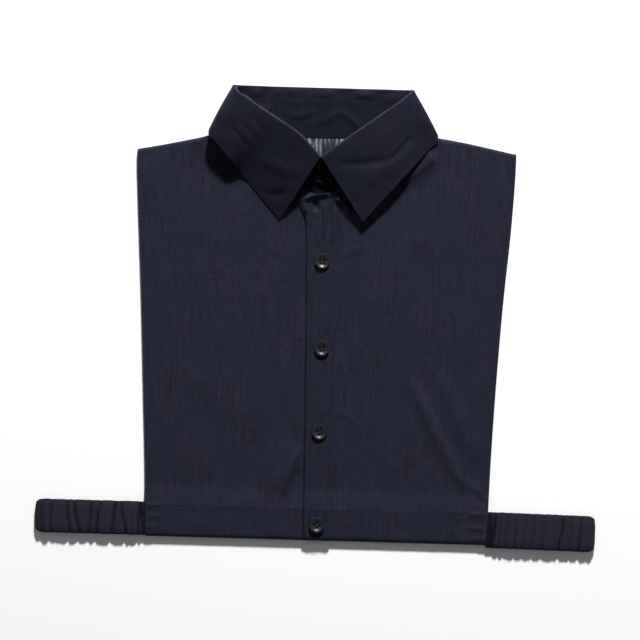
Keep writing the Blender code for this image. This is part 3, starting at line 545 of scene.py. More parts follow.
def give_wall(item, wall, offset, doubled=None, single_wall=None):
    """Give a cloth its thickness and soft rims. doubled gives the doubled wall's share at each point."""
    layer = item.modifiers.new("wall", "SOLIDIFY")
    layer.thickness = wall * MM
    layer.offset = offset
    layer.use_rim = True
    layer.use_quality_normals = True
    layer.material_offset = len(item.data.materials) - 1
    if doubled is not None:
        group = item.vertex_groups.new(name="doubled_cloth")
        for index, share in enumerate(np.ravel(doubled)):
            group.add([index], float(share), "REPLACE")
        layer.vertex_group = group.name
        layer.thickness_vertex_group = single_wall / wall
    rim = item.modifiers.new("soft_rim", "BEVEL")
    rim.width = RIM_ROUNDING * MM
    rim.segments = RIM_STEPS
    rim.limit_method = "ANGLE"
    rim.angle_limit = RIM_CORNER
    rim.use_clamp_overlap = False
    rim.harden_normals = True


def mark_crests(item, shares):
    """Note at each point of a cloth where it lies between a trough with painted shade, 0, and a crest with
    a painted highlight, 1.
    """
    crests = item.data.attributes.new("crest", "FLOAT", "POINT")
    crests.data.foreach_set("value", np.ravel(shares))


Thread = namedtuple("Thread", "length pitch thickness")
SEAM_THREAD = Thread(1.9, 2.7, 0.34)
THREAD_ROUGHNESS = 0.62
THREAD_PLY_SCALE = 2400.0
THREAD_SHADE = 0.6
THREAD_RELIEF = 0.4
THREAD_DEPTH = 0.08
THREAD_GLOSS = 0.15
BEAD_SIDES = 6
BEAD_RINGS = 4


def thread_look(name, colour):
    look = Look(name, THREAD_ROUGHNESS)
    place = look.add("ShaderNodeTexCoord", {}, {}, output=OBJECT_PLACE)
    ply = look.pattern(place, THREAD_PLY_SCALE, 2.0, 0.5)
    dark = tuple(share * THREAD_SHADE for share in colour)
    look.feed(look.shader.inputs["Base Color"], look.blend(ply, dark, colour))
    look.relief(ply, THREAD_RELIEF, THREAD_DEPTH)
    look.shader.inputs["Specular IOR Level"].default_value = THREAD_GLOSS
    return look.material


NAVY_THREAD = thread_look("navy_thread", (0.0074, 0.0074, 0.0160))


def stitch_tree():
    """Stitches along a line: it is cut into even steps, and each step gets one short bead."""
    tree = bpy.data.node_groups.new("sewn_stitches", "GeometryNodeTree")
    sockets = {}
    for name, kind in (("Line", "NodeSocketGeometry"), ("Pitch", "NodeSocketFloat"),
                       ("Length", "NodeSocketFloat"), ("Thickness", "NodeSocketFloat"),
                       ("Thread", "NodeSocketMaterial")):
        sockets[name] = tree.interface.new_socket(name, in_out="INPUT", socket_type=kind).identifier
    tree.interface.new_socket("Stitches", in_out="OUTPUT", socket_type="NodeSocketGeometry")
    given = tree.nodes.new("NodeGroupInput")
    shown = tree.nodes.new("NodeGroupOutput")
    curve = tree.nodes.new("GeometryNodeMeshToCurve")
    steps = tree.nodes.new("GeometryNodeCurveToPoints")
    steps.mode = "LENGTH"
    turn = tree.nodes.new("FunctionNodeAlignRotationToVector")
    turn.axis = "X"
    bead = tree.nodes.new("GeometryNodeMeshUVSphere")
    bead.inputs["Segments"].default_value = BEAD_SIDES
    bead.inputs["Rings"].default_value = BEAD_RINGS
    bead.inputs["Radius"].default_value = 0.5
    size = tree.nodes.new("ShaderNodeCombineXYZ")
    place = tree.nodes.new("GeometryNodeInstanceOnPoints")
    real = tree.nodes.new("GeometryNodeRealizeInstances")
    smooth = tree.nodes.new("GeometryNodeSetShadeSmooth")
    dress = tree.nodes.new("GeometryNodeSetMaterial")
    for start, end in (
        (given.outputs["Line"], curve.inputs["Mesh"]),
        (curve.outputs["Curve"], steps.inputs["Curve"]),
        (given.outputs["Pitch"], steps.inputs["Length"]),
        (steps.outputs["Tangent"], turn.inputs["Vector"]),
        (given.outputs["Length"], size.inputs["X"]),
        (given.outputs["Thickness"], size.inputs["Y"]),
        (given.outputs["Thickness"], size.inputs["Z"]),
        (steps.outputs["Points"], place.inputs["Points"]),
        (bead.outputs["Mesh"], place.inputs["Instance"]),
        (turn.outputs["Rotation"], place.inputs["Rotation"]),
        (size.outputs["Vector"], place.inputs["Scale"]),
        (place.outputs["Instances"], real.inputs["Geometry"]),
        (real.outputs["Geometry"], smooth.inputs["Geometry"]),
        (smooth.outputs["Geometry"], dress.inputs["Geometry"]),
        (given.outputs["Thread"], dress.inputs["Material"]),
        (dress.outputs["Geometry"], shown.inputs["Stitches"]),
    ):
        tree.links.new(start, end)
    return tree, sockets


STITCH_TREE, STITCH_SOCKETS = stitch_tree()


def sew(name, lines):
    """Rows of stitches along lines of points on the cloth, as one mesh of beads."""
    points = []
    edges = []
    for line in lines:
        first = len(points)
        points += [tuple(point) for point in line]
        edges += [(first + step, first + step + 1) for step in range(len(line) - 1)]
    path = mesh_object(name + "_path", points, [], edges)
    rows = path.modifiers.new("stitches", "NODES")
    rows.node_group = STITCH_TREE
    rows[STITCH_SOCKETS["Pitch"]] = SEAM_THREAD.pitch * MM
    rows[STITCH_SOCKETS["Length"]] = SEAM_THREAD.length * MM
    rows[STITCH_SOCKETS["Thickness"]] = SEAM_THREAD.thickness * MM
    rows[STITCH_SOCKETS["Thread"]] = NAVY_THREAD
    bpy.context.view_layer.update()
    graph = bpy.context.evaluated_depsgraph_get()
    mesh = bpy.data.meshes.new_from_object(path.evaluated_get(graph))
    bpy.data.objects.remove(path, do_unlink=True)
    mesh.name = name
    stitches = bpy.data.objects.new(name, mesh)
    bpy.context.scene.collection.objects.link(stitches)
    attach(stitches, "root")
    return stitches


BIB_COTTON = slub_cotton("bib_cotton", BIB_DYE, BIB_BLUE, BIB_ROUGHNESS)
# The back's inside face: paler colours, with painted highlights and painted shade on the neck gathers.
BIB_INSIDE = slub_cotton(
    "bib_inside_cotton", INSIDE_COLOURS, INSIDE_BLUE, BIB_ROUGHNESS, gathers=NECK_GATHER_SHADE_AND_HIGHLIGHT)

fine_reach = BACK_GATHERS * BACK_GATHER_PITCH / 2.0
fine_columns = COLLAR_CENTRE_X + np.linspace(
    -fine_reach, fine_reach, round(2.0 * fine_reach / BACK_COLUMN_STEP))
outer_count = round((SHOULDER_SEAM[-1].across - fine_reach) / BACK_SIDE_COLUMN_STEP)
outer_shares = np.linspace(0.0, 1.0, outer_count + 1)[1:]
hem_edge_rows = HEM_ROUNDING * (1.0 - np.cos(np.linspace(0.0, math.pi / 2.0, HEM_EDGE_STEPS)))
lower_rows = np.concatenate((
    hem_edge_rows, np.arange(HEM_ROUNDING + BACK_ROW_STEP, BACK_GATHER_START, BACK_ROW_STEP)))
upper_shares = np.linspace(
    0.0, 1.0, round((BACK_GATHER_TOP - BACK_GATHER_START) / BACK_GATHER_ROW_STEP))


def back_columns(y):
    """Places across the back at one height, for every column."""
    left_edge = BACK_SIDE_ROOM - side_x(y, -1)
    right_edge = side_x(y, 1) - BACK_SIDE_ROOM
    left = fine_columns[0] + (left_edge - fine_columns[0]) * outer_shares[::-1]
    right = fine_columns[-1] + (right_edge - fine_columns[-1]) * outer_shares
    return np.concatenate((left, fine_columns, right))


back_rows = []
for y in lower_rows:
    x = back_columns(y)
    back_rows.append(np.stack((x, np.full(x.shape, y)), axis=-1))
for share in upper_shares:
    x = back_columns(SHOULDER_GUESS)
    y = BACK_GATHER_START + share * (back_neck_y(x) - BACK_GATHER_START)
    back_rows.append(np.stack((x, y), axis=-1))
back_plan = np.array(back_rows)
back_points = np.dstack((back_plan, back_height(back_plan[..., 0], back_plan[..., 1])))
back = cloth_grid("back_panel_cloth", back_points, back_plan, BIB_INSIDE)
back.data.materials.append(BIB_COTTON)
mark_crests(back, back_gather_crest(back_plan[..., 0], back_plan[..., 1]))
give_wall(back, BIB_HEM_WALL, 1.0, hem_fullness(back_plan[..., 1]), BIB_WALL)
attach(back, "root")
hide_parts("back_panel")

BACK_STITCH_REACH = 140.0
BACK_STITCH_POINTS = 90
BACK_STITCH_DEPTH = 0.02

hem_x = np.linspace(-BACK_STITCH_REACH, BACK_STITCH_REACH, BACK_STITCH_POINTS)
hem_y = np.full(hem_x.shape, STITCHED_HEM - HEM_STITCH_INSET)
under_hem = np.stack((hem_x, hem_y, back_height(hem_x, hem_y) - BACK_STITCH_DEPTH), axis=-1)
back_stitches = sew("back_hem_stitches", [under_hem])


# Fronts: two panels of the same slub cotton over the back, with a deep stitched hem, narrow
# stitched hems at the open armholes and shoulder seams that roll over the back's edge. Their
# upper edges rise to the neck seam. The right front runs on under the placket.
FRONT_LEVEL = 2.7
FRONT_HEM_LIFT = 2.4
FRONT_HEM_FADE = 18.0
HEM_EDGE_DROP = 2.8
FRONT_SPLIT_X = 6.0
FRONT_GAP = 0.3
PLACKET_SEAM_X = 13.0
ARMHOLE_HEM = 6.0
ARMHOLE_RAISE = 0.45
SHOULDER_CURL = 2.7
CURL_START = 90.0
CURL_FULL = 108.0
CURL_LEAST = 0.9
CURL_FOOT = 0.8
CURL_FOOT_LIFT = 0.3
CURL_FOOT_LIFT_END = 124.0
CURL_STEPS = 7
FRONT_ROW_STEP = 1.7
FRONT_COLUMN_STEP = 1.7
NECK_SEAM_ROOM = 0.7
NECK_RISE_REACH = 36.0
LOWER_END_EDGE = 8.0
UPPER_END_EDGE = 22.0
CAD_WALL = 1.2
NECK_LINE_POINTS = 30
UNDER_COLUMNS = 9
FRONT_LIFT = 0.35
FRONT_WAVES = Uneven(0.55, 52.0, 88.0, 2.2)
FRONT_RIPPLES = Uneven(0.22, 15.0, 30.0, 4.9)
HEM_WAVES = Uneven(0.42, 15.0, 11.0, 6.3)
HEM_RIPPLES = Uneven(0.14, 5.0, 8.0, 2.9)
HEM_WAVES_FULL = 6.0
HEM_FOLD_STEP = 0.3
HEM_FOLD_START = STITCHED_HEM - 1.0
HEM_FOLD_END = STITCHED_HEM + 1.5
ARMHOLE_STEP_START = ARMHOLE_HEM - 1.2
ARMHOLE_STEP_END = ARMHOLE_HEM + 1.0

PlacketEdge = namedtuple("PlacketEdge", "height from_centre")
PLACKET_EDGE = (
    PlacketEdge(0.0, 9.7),
    PlacketEdge(160.0, 12.0),
    PlacketEdge(262.0, 14.4),
    PlacketEdge(272.0, 16.2),
    PlacketEdge(281.0, 20.5),
    PlacketEdge(290.0, 22.5),
)

SeamPlace = namedtuple("SeamPlace", "girth across up left_height right_height")
NECK_SEAM = (
    SeamPlace(0.0, 0.0, 337.5, 2.5, 2.5),
    SeamPlace(45.0, 45.0, 338.0, 2.5, 2.5),
    SeamPlace(72.0, 72.0, 339.4, 2.5, 2.5),
    SeamPlace(83.0, 82.5, 341.2, 3.3, 3.2),
    SeamPlace(89.0, 85.0, 341.7, 4.8, 4.7),
    SeamPlace(95.0, 83.0, 340.6, 6.2, 6.1),
    SeamPlace(104.0, 77.0, 337.0, 7.0, 6.6),
    SeamPlace(145.0, 45.0, 314.0, 4.6, 5.9),
    SeamPlace(193.0, 0.0, 291.8, 4.0, 6.0),
    SeamPlace(205.0, -12.0, 295.2, 4.0, 6.1),
)
SIDE_GIRTH = 89.0
CENTRE_FRONT_GIRTH = 193.0
LAP_END_GIRTH = 205.0

FRONT_CREASES = (
    Crease(-13.0, 80.0, -27.0, 56.0, -28.0, 26.0, 2.7, 2.3),
    Crease(-13.0, 62.0, -19.0, 50.0, -17.0, 28.0, 2.6, -1.2),
    Crease(-24.0, 66.0, -36.0, 48.0, -40.0, 28.0, 2.6, 0.9),
    Crease(-15.0, 88.0, -34.0, 58.0, -37.0, 30.0, 12.0, 1.2),
    Crease(72.0, 150.0, 94.0, 92.0, 135.0, 31.0, 5.0, 1.9),
    Crease(86.0, 126.0, 104.0, 84.0, 128.0, 52.0, 2.4, 0.5),
    Crease(94.0, 156.0, 118.0, 104.0, 141.0, 62.0, 7.5, 1.2),
    Crease(118.0, 60.0, 128.0, 48.0, 140.0, 42.0, 3.0, 0.7),
    Crease(-157.0, 322.0, -143.0, 296.0, -149.0, 262.0, 5.0, 0.9),
    Crease(24.0, 284.0, 31.0, 262.0, 25.0, 232.0, 6.0, 0.9),
    Crease(14.0, 158.0, 24.0, 146.0, 22.0, 118.0, 2.6, 0.6),
    Crease(16.0, 112.0, 26.0, 104.0, 40.0, 92.0, 2.4, 0.45),
    Crease(15.0, 236.0, 26.0, 246.0, 42.0, 248.0, 3.0, 0.4),
    Crease(-120.0, 262.0, -84.0, 244.0, -60.0, 250.0, 10.0, 0.5),
    Crease(60.0, 262.0, 92.0, 246.0, 124.0, 254.0, 11.0, 0.5),
    Crease(-130.0, 150.0, -90.0, 132.0, -66.0, 92.0, 13.0, 0.6),
    Crease(66.0, 302.0, 80.0, 316.0, 97.0, 329.0, 5.0, 3.2),
)
SIDE_PUCKERS = (
    Crease(-143.5, 26.0, -136.0, 25.0, -128.0, 28.0, 1.6, 0.7),
    Crease(-143.5, 17.0, -135.0, 18.0, -125.0, 15.0, 1.9, 0.8),
    Crease(-143.5, 8.0, -137.0, 7.0, -129.0, 9.0, 1.6, 0.6),
    Crease(143.5, 24.0, 136.0, 26.0, 127.0, 25.0, 1.8, 0.8),
    Crease(143.5, 14.0, 136.0, 13.0, 124.0, 16.0, 1.7, 0.8),
    Crease(143.5, 5.0, 136.0, 6.0, 129.0, 4.0, 1.5, 0.6),
    Crease(144.5, 36.0, 138.0, 42.0, 130.0, 56.0, 2.6, 0.8),
    Crease(-144.5, 36.0, -139.0, 44.0, -136.0, 60.0, 2.6, 0.6),
)
NECK_PUCKERS = (
    Crease(-22.0, 281.5, -7.0, 294.5, 10.0, 289.0, 2.0, 2.7),
    Crease(7.0, 289.5, 19.0, 285.0, 23.0, 269.0, 2.8, 3.6),
    Crease(-9.0, 286.0, -5.0, 281.0, -7.0, 275.0, 2.6, -2.5),
    Crease(-16.5, 284.0, -16.0, 279.0, -13.0, 272.0, 1.5, 1.3),
    Crease(0.5, 286.0, 3.5, 270.0, -1.0, 250.0, 1.6, 1.7),
    Crease(4.5, 284.0, 6.5, 270.0, 3.0, 256.0, 1.2, -0.9),
    Crease(9.0, 284.0, 11.5, 266.0, 7.0, 246.0, 1.7, 1.6),
    Crease(16.0, 279.0, 14.0, 264.0, 18.5, 250.0, 1.6, 1.3),
    Crease(-3.0, 270.0, -6.0, 258.0, -2.0, 244.0, 1.8, 0.8),
)


def collar_shift(side, across):
    return COLLAR_CENTRE_X + side * across


def neck_seam_line():
    """The neck seam over the front, from the collar's left side round to its right side."""
    girths = np.linspace(SIDE_GIRTH, CENTRE_FRONT_GIRTH, NECK_LINE_POINTS)
    across = curve_value(NECK_SEAM, "girth", "across", girths)
    up = curve_value(NECK_SEAM, "girth", "up", girths)
    left = curve_value(NECK_SEAM, "girth", "left_height", girths)
    right = curve_value(NECK_SEAM, "girth", "right_height", girths)
    left_side = np.stack((collar_shift(-1, across), up, left), axis=-1)
    right_side = np.stack((collar_shift(1, across), up, right), axis=-1)[::-1]
    return np.concatenate((left_side, right_side[1:]))


NECK_LINE = neck_seam_line()


def neck_edge_height(x):
    """Height of the fronts' outside at the neck seam, under one stand end or under both."""
    across = x - COLLAR_CENTRE_X
    under = np.interp(np.minimum(x, COLLAR_CENTRE_X), NECK_LINE[:, 0], NECK_LINE[:, 2])
    over_x = np.maximum(x, COLLAR_CENTRE_X + UPPER_END_EDGE)
    over = np.interp(over_x, NECK_LINE[:, 0], NECK_LINE[:, 2])
    share = smooth_step(LOWER_END_EDGE, UPPER_END_EDGE, across)
    return under + (over - under) * share + CAD_WALL / 2.0


def front_top_y(x):
    """The fronts' upper edge: the neck seam under the collar, the shoulder seam beyond it."""
    across = np.abs(x - COLLAR_CENTRE_X)
    under = np.interp(x, NECK_LINE[:, 0], NECK_LINE[:, 1]) - NECK_SEAM_ROOM
    return np.where(across >= SHOULDER_SEAM[0].across, shoulder_y(x - COLLAR_CENTRE_X), under)


def front_height(x, y):
    """Height of the fronts' outside."""
    hem = 1.0 - smooth_step(STITCHED_HEM, STITCHED_HEM + FRONT_HEM_FADE, y)
    hem_fold = 1.0 - smooth_step(HEM_FOLD_START, HEM_FOLD_END, y)
    level = FRONT_LEVEL + leaf_under_height(x, y) + FRONT_HEM_LIFT * hem + HEM_FOLD_STEP * (hem_fold - hem)
    level = level - HEM_EDGE_DROP * (1.0 - hem_fullness(np.minimum(y, STITCHED_HEM)))
    soft = crumple(x, y, FRONT_WAVES) + crumple(x, y, FRONT_RIPPLES)
    level = level + (FRONT_LIFT + soft + crease_height(FRONT_CREASES, x, y)) * (1.0 - hem)
    hem_waves = crumple(x, y, HEM_WAVES) + crumple(x, y, HEM_RIPPLES)
    level = level + hem_waves * hem_fold * smooth_step(0.0, HEM_WAVES_FULL, y)
    level = level + crease_height(SIDE_PUCKERS, x, y)
    edge = np.where(x < 0.0, side_x(y, -1) + x, side_x(y, 1) - x)
    level = level + ARMHOLE_RAISE * (1.0 - smooth_step(ARMHOLE_STEP_START, ARMHOLE_STEP_END, edge))
    distance, passed = near_line(NECK_LINE, x, y)
    nearest = np.interp(passed, np.linspace(0.0, 1.0, len(NECK_LINE)), NECK_LINE[:, 0])
    near = 1.0 - smooth_step(0.0, NECK_RISE_REACH, distance)
    level = level + np.maximum(neck_edge_height(nearest) - level, 0.0) * near
    return level + crease_height(NECK_PUCKERS, x, y)


def placket_edge_x(y):
    return -curve_value(PLACKET_EDGE, "height", "from_centre", y)


def front_columns(x_of, shares):
    """Columns of points up a front. x_of gives their places across from a height."""
    top_y = np.full(shares.shape, SHOULDER_GUESS)
    for _ in range(SETTLE_ROUNDS):
        top_y = front_top_y(x_of(shares, top_y))
    curl = smooth_step(CURL_START, CURL_FULL, np.abs(x_of(shares, top_y) - COLLAR_CENTRE_X))
    near_top = top_y - SHOULDER_CURL
    room = front_height(x_of(shares, near_top), near_top) - CURL_LEAST
    reach = CURL_LEAST + room * curl
    flat_top = top_y - reach
    rows_up = np.linspace(0.0, 1.0, round(SHOULDER_GUESS / FRONT_ROW_STEP))
    above_hem_edge = rows_up[rows_up * SHOULDER_GUESS > HEM_ROUNDING + 1.0]
    up = np.concatenate((hem_edge_rows / SHOULDER_GUESS, above_hem_edge))[:, None]
    y = up * flat_top[None, :]
    x = x_of(shares[None, :], y)
    rows = [np.dstack((x, y, front_height(x, y)))]
    flat_x, flat_z = x[-1], rows[0][-1, :, 2]
    for step in range(1, CURL_STEPS + 1):
        turn = math.radians(90.0 * step / CURL_STEPS)
        out = curl * math.sin(turn) + (1.0 - curl) * step / (CURL_STEPS + 1)
        z = flat_z - curl * (flat_z - CURL_FOOT) * (1.0 - math.cos(turn))
        rows.append(np.dstack((flat_x, flat_top + reach * out, z)))
    beyond = 1.0 - smooth_step(CURL_FULL, CURL_FOOT_LIFT_END, np.abs(flat_x - COLLAR_CENTRE_X))
    foot = z - CURL_FOOT * curl + CURL_FOOT_LIFT * beyond * curl
    rows.append(np.dstack((flat_x, top_y, foot)))
    return np.concatenate(rows)


def finish_front(name, node, points):
    item = cloth_grid(name, points, points[..., :2], BIB_COTTON)
    give_wall(item, BIB_HEM_WALL, -1.0, hem_fullness(points[..., 1]), BIB_WALL)
    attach(item, "root")
    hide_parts(node)
    return item


front_shares = np.linspace(0.0, 1.0, round(BIB_SIDES[0].right / FRONT_COLUMN_STEP))
under_shares = np.linspace(0.0, 1.0, UNDER_COLUMNS + 1)[1:]


def right_front_x(share, y):
    return -side_x(y, -1) + share * (side_x(y, -1) + placket_edge_x(y))


def right_under_x(share, y):
    return placket_edge_x(y) + share * (FRONT_SPLIT_X - FRONT_GAP / 2.0 - placket_edge_x(y))


def left_front_x(share, y):
    return PLACKET_SEAM_X + share * (side_x(y, 1) - PLACKET_SEAM_X)


def left_under_x(share, y):
    start = FRONT_SPLIT_X + FRONT_GAP / 2.0
    return start + share * (PLACKET_SEAM_X - start) + 0.0 * y


right_points = np.concatenate(
    (front_columns(right_front_x, front_shares), front_columns(right_under_x, under_shares)), axis=1)
left_points = np.concatenate(
    (front_columns(left_under_x, under_shares[:-1]), front_columns(left_front_x, front_shares)), axis=1)
right_front = finish_front("front_right_cloth", "front_right_panel", right_points)
left_front = finish_front("front_left_cloth", "front_left_panel", left_points)


STITCH_LIFT = 0.05
HEM_STITCH_POINTS = 60
ARMHOLE_STITCH_POINTS = 160
ARMHOLE_STITCH_INSET = 1.2
Span = namedtuple("Span", "start end")
HEM_STITCH_SPANS = (Span(-139.0, -12.0), Span(15.0, 139.0))
ARMHOLE_STITCH_SPAN = Span(4.0, 318.0)


def along_front(x, y):
    return np.stack((x, y, front_height(x, y) + STITCH_LIFT), axis=-1)


hem_stitches = []
for span in HEM_STITCH_SPANS:
    x = np.linspace(span.start, span.end, HEM_STITCH_POINTS)
    hem_stitches.append(along_front(x, np.full(x.shape, STITCHED_HEM - HEM_STITCH_INSET)))
for side in (-1, 1):
    y = np.linspace(ARMHOLE_STITCH_SPAN.start, ARMHOLE_STITCH_SPAN.end, ARMHOLE_STITCH_POINTS)
    hem_stitches.append(along_front(side * (side_x(y, side) - ARMHOLE_HEM + ARMHOLE_STITCH_INSET), y))
front_stitches = sew("front_hem_stitches", hem_stitches)


# Placket: a doubled strip of the same cotton down the front edge. Its right side is stitched to
# the left front, and its other side is free and laps over the right front.
PLACKET_WALL = 1.2
PLACKET_OVER_FRONT = 1.9
PLACKET_COLUMNS = 34
COLLAR_ROUGHNESS = 0.72
PLACKET_DYE = Dye((0.0074, 0.0080, 0.0162), (0.0111, 0.0118, 0.0239), (0.0165, 0.0169, 0.0327))
# Painted shade: a dark strip along the placket's free edge, standing in for the thin shadow and shade
# beside it.
PLACKET_EDGE_PAINTED_SHADE = ShadeAndHighlight((0.0010, 0.0010, 0.0030), (0.018, 0.018, 0.030))
PLACKET_EDGE_SHADE_WIDTH = 1.3
PLACKET_EDGE_SHADE_UNEVEN = Uneven(0.7, 1.0, 14.0, 5.1)
PRESSED_EDGE_DROP = 0.65
PRESSED_EDGE_REACH = 1.7
SEWN_EDGE_DROP = 0.6
SEWN_EDGE_REACH = 1.2
PLACKET_WAVES = Uneven(0.35, 9.0, 26.0, 8.8)
PLACKET_WAVES_FULL = 4.0
LOOSE_EDGE = Uneven(2.2, 1.0, 34.0, 3.3)
LOOSE_EDGE_REACH = 4.0
LOOSE_EDGE_START = 8.0
PLACKET_CUT_PLACE = (0.37, 0.11)
PLACKET_COTTON = slub_cotton(
    "placket_cotton", PLACKET_DYE, BIB_BLUE, COLLAR_ROUGHNESS, gathers=PLACKET_EDGE_PAINTED_SHADE)
PULLS_FROM_BUTTON = (
    Crease(-2.4, 4.0, -3.0, 9.0, -4.0, 15.0, 1.2, -0.55),
    Crease(2.4, 4.0, 1.8, 9.0, 4.0, 15.0, 1.2, -0.55),
    Crease(-7.5, 3.0, -7.0, -2.0, -6.0, -7.0, 1.3, -0.5),
    Crease(7.5, 5.0, 7.2, 0.0, 6.0, -5.0, 1.3, -0.4),
)


def button_pulls():
    """Short troughs round each button, where it draws the strip together."""
    pulls = []
    for node in ("button_1", "button_2", "button_3", "button_4"):
        middle = (Vector(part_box(node)[0]) + Vector(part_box(node)[1])) / 2.0
        x, y = middle.x / MM, (middle.y - HEM_LINE) / MM
        for pull in PULLS_FROM_BUTTON:
            pulls.append(pull._replace(
                start_x=x + pull.start_x, start_y=y + pull.start_y,
                bend_x=x + pull.bend_x, bend_y=y + pull.bend_y,
                end_x=x + pull.end_x, end_y=y + pull.end_y,
            ))
    return pulls


BUTTON_PULLS = button_pulls()


def placket_x(share, y):
    return placket_edge_x(y) + share * (PLACKET_SEAM_X - placket_edge_x(y))


def placket_shape(points):
    """The strip lies on the fronts, rounds down at its free edge and is sewn down at the other."""
    across = points[..., 0] - placket_edge_x(points[..., 1])
    to_seam = PLACKET_SEAM_X - points[..., 0]
    x, y = points[..., 0], points[..., 1]
    lifted = points.copy()
    lifted[..., 2] += PLACKET_OVER_FRONT
    lifted[..., 2] -= PRESSED_EDGE_DROP * np.exp(-(across / PRESSED_EDGE_REACH) ** 2)
    lifted[..., 2] -= SEWN_EDGE_DROP * np.exp(-(to_seam / SEWN_EDGE_REACH) ** 2)
    inside = smooth_step(0.0, PLACKET_WAVES_FULL, across) * smooth_step(0.0, PLACKET_WAVES_FULL, to_seam)
    lifted[..., 2] += crumple(x, y, PLACKET_WAVES) * inside
    lifted[..., 2] += crease_height(BUTTON_PULLS, x, y)
    loose = np.maximum(crumple(0.0 * x, y, LOOSE_EDGE), 0.0) * smooth_step(0.0, LOOSE_EDGE_START, y)
    lifted[..., 2] += loose * np.exp(-(across / LOOSE_EDGE_REACH) ** 2)
    return lifted


placket_points = placket_shape(front_columns(placket_x, np.linspace(0.0, 1.0, PLACKET_COLUMNS)))
placket_cut = placket_points[..., :2] + np.array(PLACKET_CUT_PLACE)
placket_strip = cloth_grid("placket_strip", placket_points, placket_cut, PLACKET_COTTON)
# Painted shade along the strip's free edge, of uneven width along it.
from_edge = placket_points[..., 0] - placket_edge_x(placket_points[..., 1])
painted_shade_from_edge = from_edge + crumple(0.0 * from_edge, placket_points[..., 1], PLACKET_EDGE_SHADE_UNEVEN)
mark_crests(placket_strip, PLAIN_CREST * smooth_step(0.0, PLACKET_EDGE_SHADE_WIDTH, painted_shade_from_edge))
give_wall(placket_strip, PLACKET_WALL, -1.0)
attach(placket_strip, "root")
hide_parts("placket")


PLACKET_STITCH_SPAN = Span(2.0, 286.0)
PLACKET_STITCH_POINTS = 150
SEAM_STITCH_INSET = 2.4
EDGE_STITCH_INSET = 5.0


def along_placket(x, y):
    place = placket_shape(np.stack((x, y, front_height(x, y)), axis=-1)[None, ...])[0]
    place[:, 2] += STITCH_LIFT
    return place


seam_y = np.linspace(PLACKET_STITCH_SPAN.start, PLACKET_STITCH_SPAN.end, PLACKET_STITCH_POINTS)
placket_stitches = sew("placket_stitches", [
    along_placket(np.full(seam_y.shape, PLACKET_SEAM_X - SEAM_STITCH_INSET), seam_y),
    along_placket(placket_edge_x(seam_y) + EDGE_STITCH_INSET, seam_y),
])


# Collar stand: a stiffened band round the neck, sewn on over the neck seam. At the back it lies
# down with its inside up, and its two ends lap over each other at the front under the button.
STAND_WALL = 1.2
STAND_TOP = (
    SeamPlace(0.0, 0.0, 367.5, 2.5, 2.5),
    SeamPlace(45.0, 43.0, 367.8, 2.5, 2.5),
    SeamPlace(72.0, 67.0, 368.4, 2.6, 2.6),
    SeamPlace(83.0, 76.0, 369.0, 4.4, 3.9),
    SeamPlace(89.0, 78.4, 369.2, 7.2, 6.3),
    SeamPlace(95.0, 76.5, 368.5, 9.8, 8.6),
    SeamPlace(104.0, 68.6, 364.5, 11.4, 9.6),
    SeamPlace(145.0, 36.0, 342.5, 8.6, 10.0),
    SeamPlace(193.0, 0.0, 317.6, 7.9, 9.9),
    SeamPlace(205.0, -11.5, 312.0, 5.6, 9.3),
)
STAND_ROWS = 20
STAND_EDGE_ROW = 0.012
STAND_INNER_ROWS = Span(0.05, 0.95)
STAND_STITCH_ROW = 2
GIRTH_STEP = 2.0
CORNER_GIRTH_STEP = 1.0
CORNER_GIRTHS = Span(68.0, 108.0)
STAND_WAVES = Uneven(0.25, 16.0, 9.0, 5.5)
STAND_LYING = Span(4.0, 8.0)
STAND_CREASES = (
    Crease(-60.0, 366.0, -44.0, 352.0, -24.0, 340.0, 2.6, 0.9),
    Crease(-34.0, 358.0, -22.0, 352.0, -8.0, 362.0, 2.4, 0.8),
    Crease(-20.0, 348.0, 2.0, 350.0, 14.0, 364.0, 2.6, 0.6),
    Crease(6.0, 364.0, 26.0, 352.0, 36.0, 340.0, 2.6, 0.9),
    Crease(40.0, 364.0, 48.0, 354.0, 47.0, 346.0, 2.6, 0.7),
    Crease(-72.0, 362.0, -58.0, 360.0, -40.0, 362.0, 2.2, 0.8),
)
# Painted shade: the stand's colours are far darker than the bib's and the leaf's, for the collar's shadow
# over it, most of all in the V between the leaf's points.
STAND_SHADED_DYE = Dye((0.0022, 0.0026, 0.0069), (0.0038, 0.0045, 0.0108), (0.0063, 0.0072, 0.0157))
STAND_SHADED_BLUE = (0.0032, 0.0050, 0.0116)
STAND_SHADED_COTTON = slub_cotton("stand_shaded_cotton", STAND_SHADED_DYE, STAND_SHADED_BLUE, COLLAR_ROUGHNESS, streaks=0.6)


def collar_point(table, side, girth):
    across = curve_value(table, "girth", "across", girth)
    column = "left_height" if side < 0 else "right_height"
    return np.array([
        COLLAR_CENTRE_X + side * across,
        curve_value(table, "girth", "up", girth),
        curve_value(table, "girth", column, girth),
    ])


def girth_places(last):
    """Sides and girths from the left front, round the back, to the right front."""
    places = np.concatenate((
        np.arange(0.0, CORNER_GIRTHS.start, GIRTH_STEP),
        np.arange(CORNER_GIRTHS.start, CORNER_GIRTHS.end, CORNER_GIRTH_STEP),
        np.arange(CORNER_GIRTHS.end, last, GIRTH_STEP),
        [last],
    ))
    return [(-1, girth) for girth in places[:0:-1]] + [(1, girth) for girth in places]


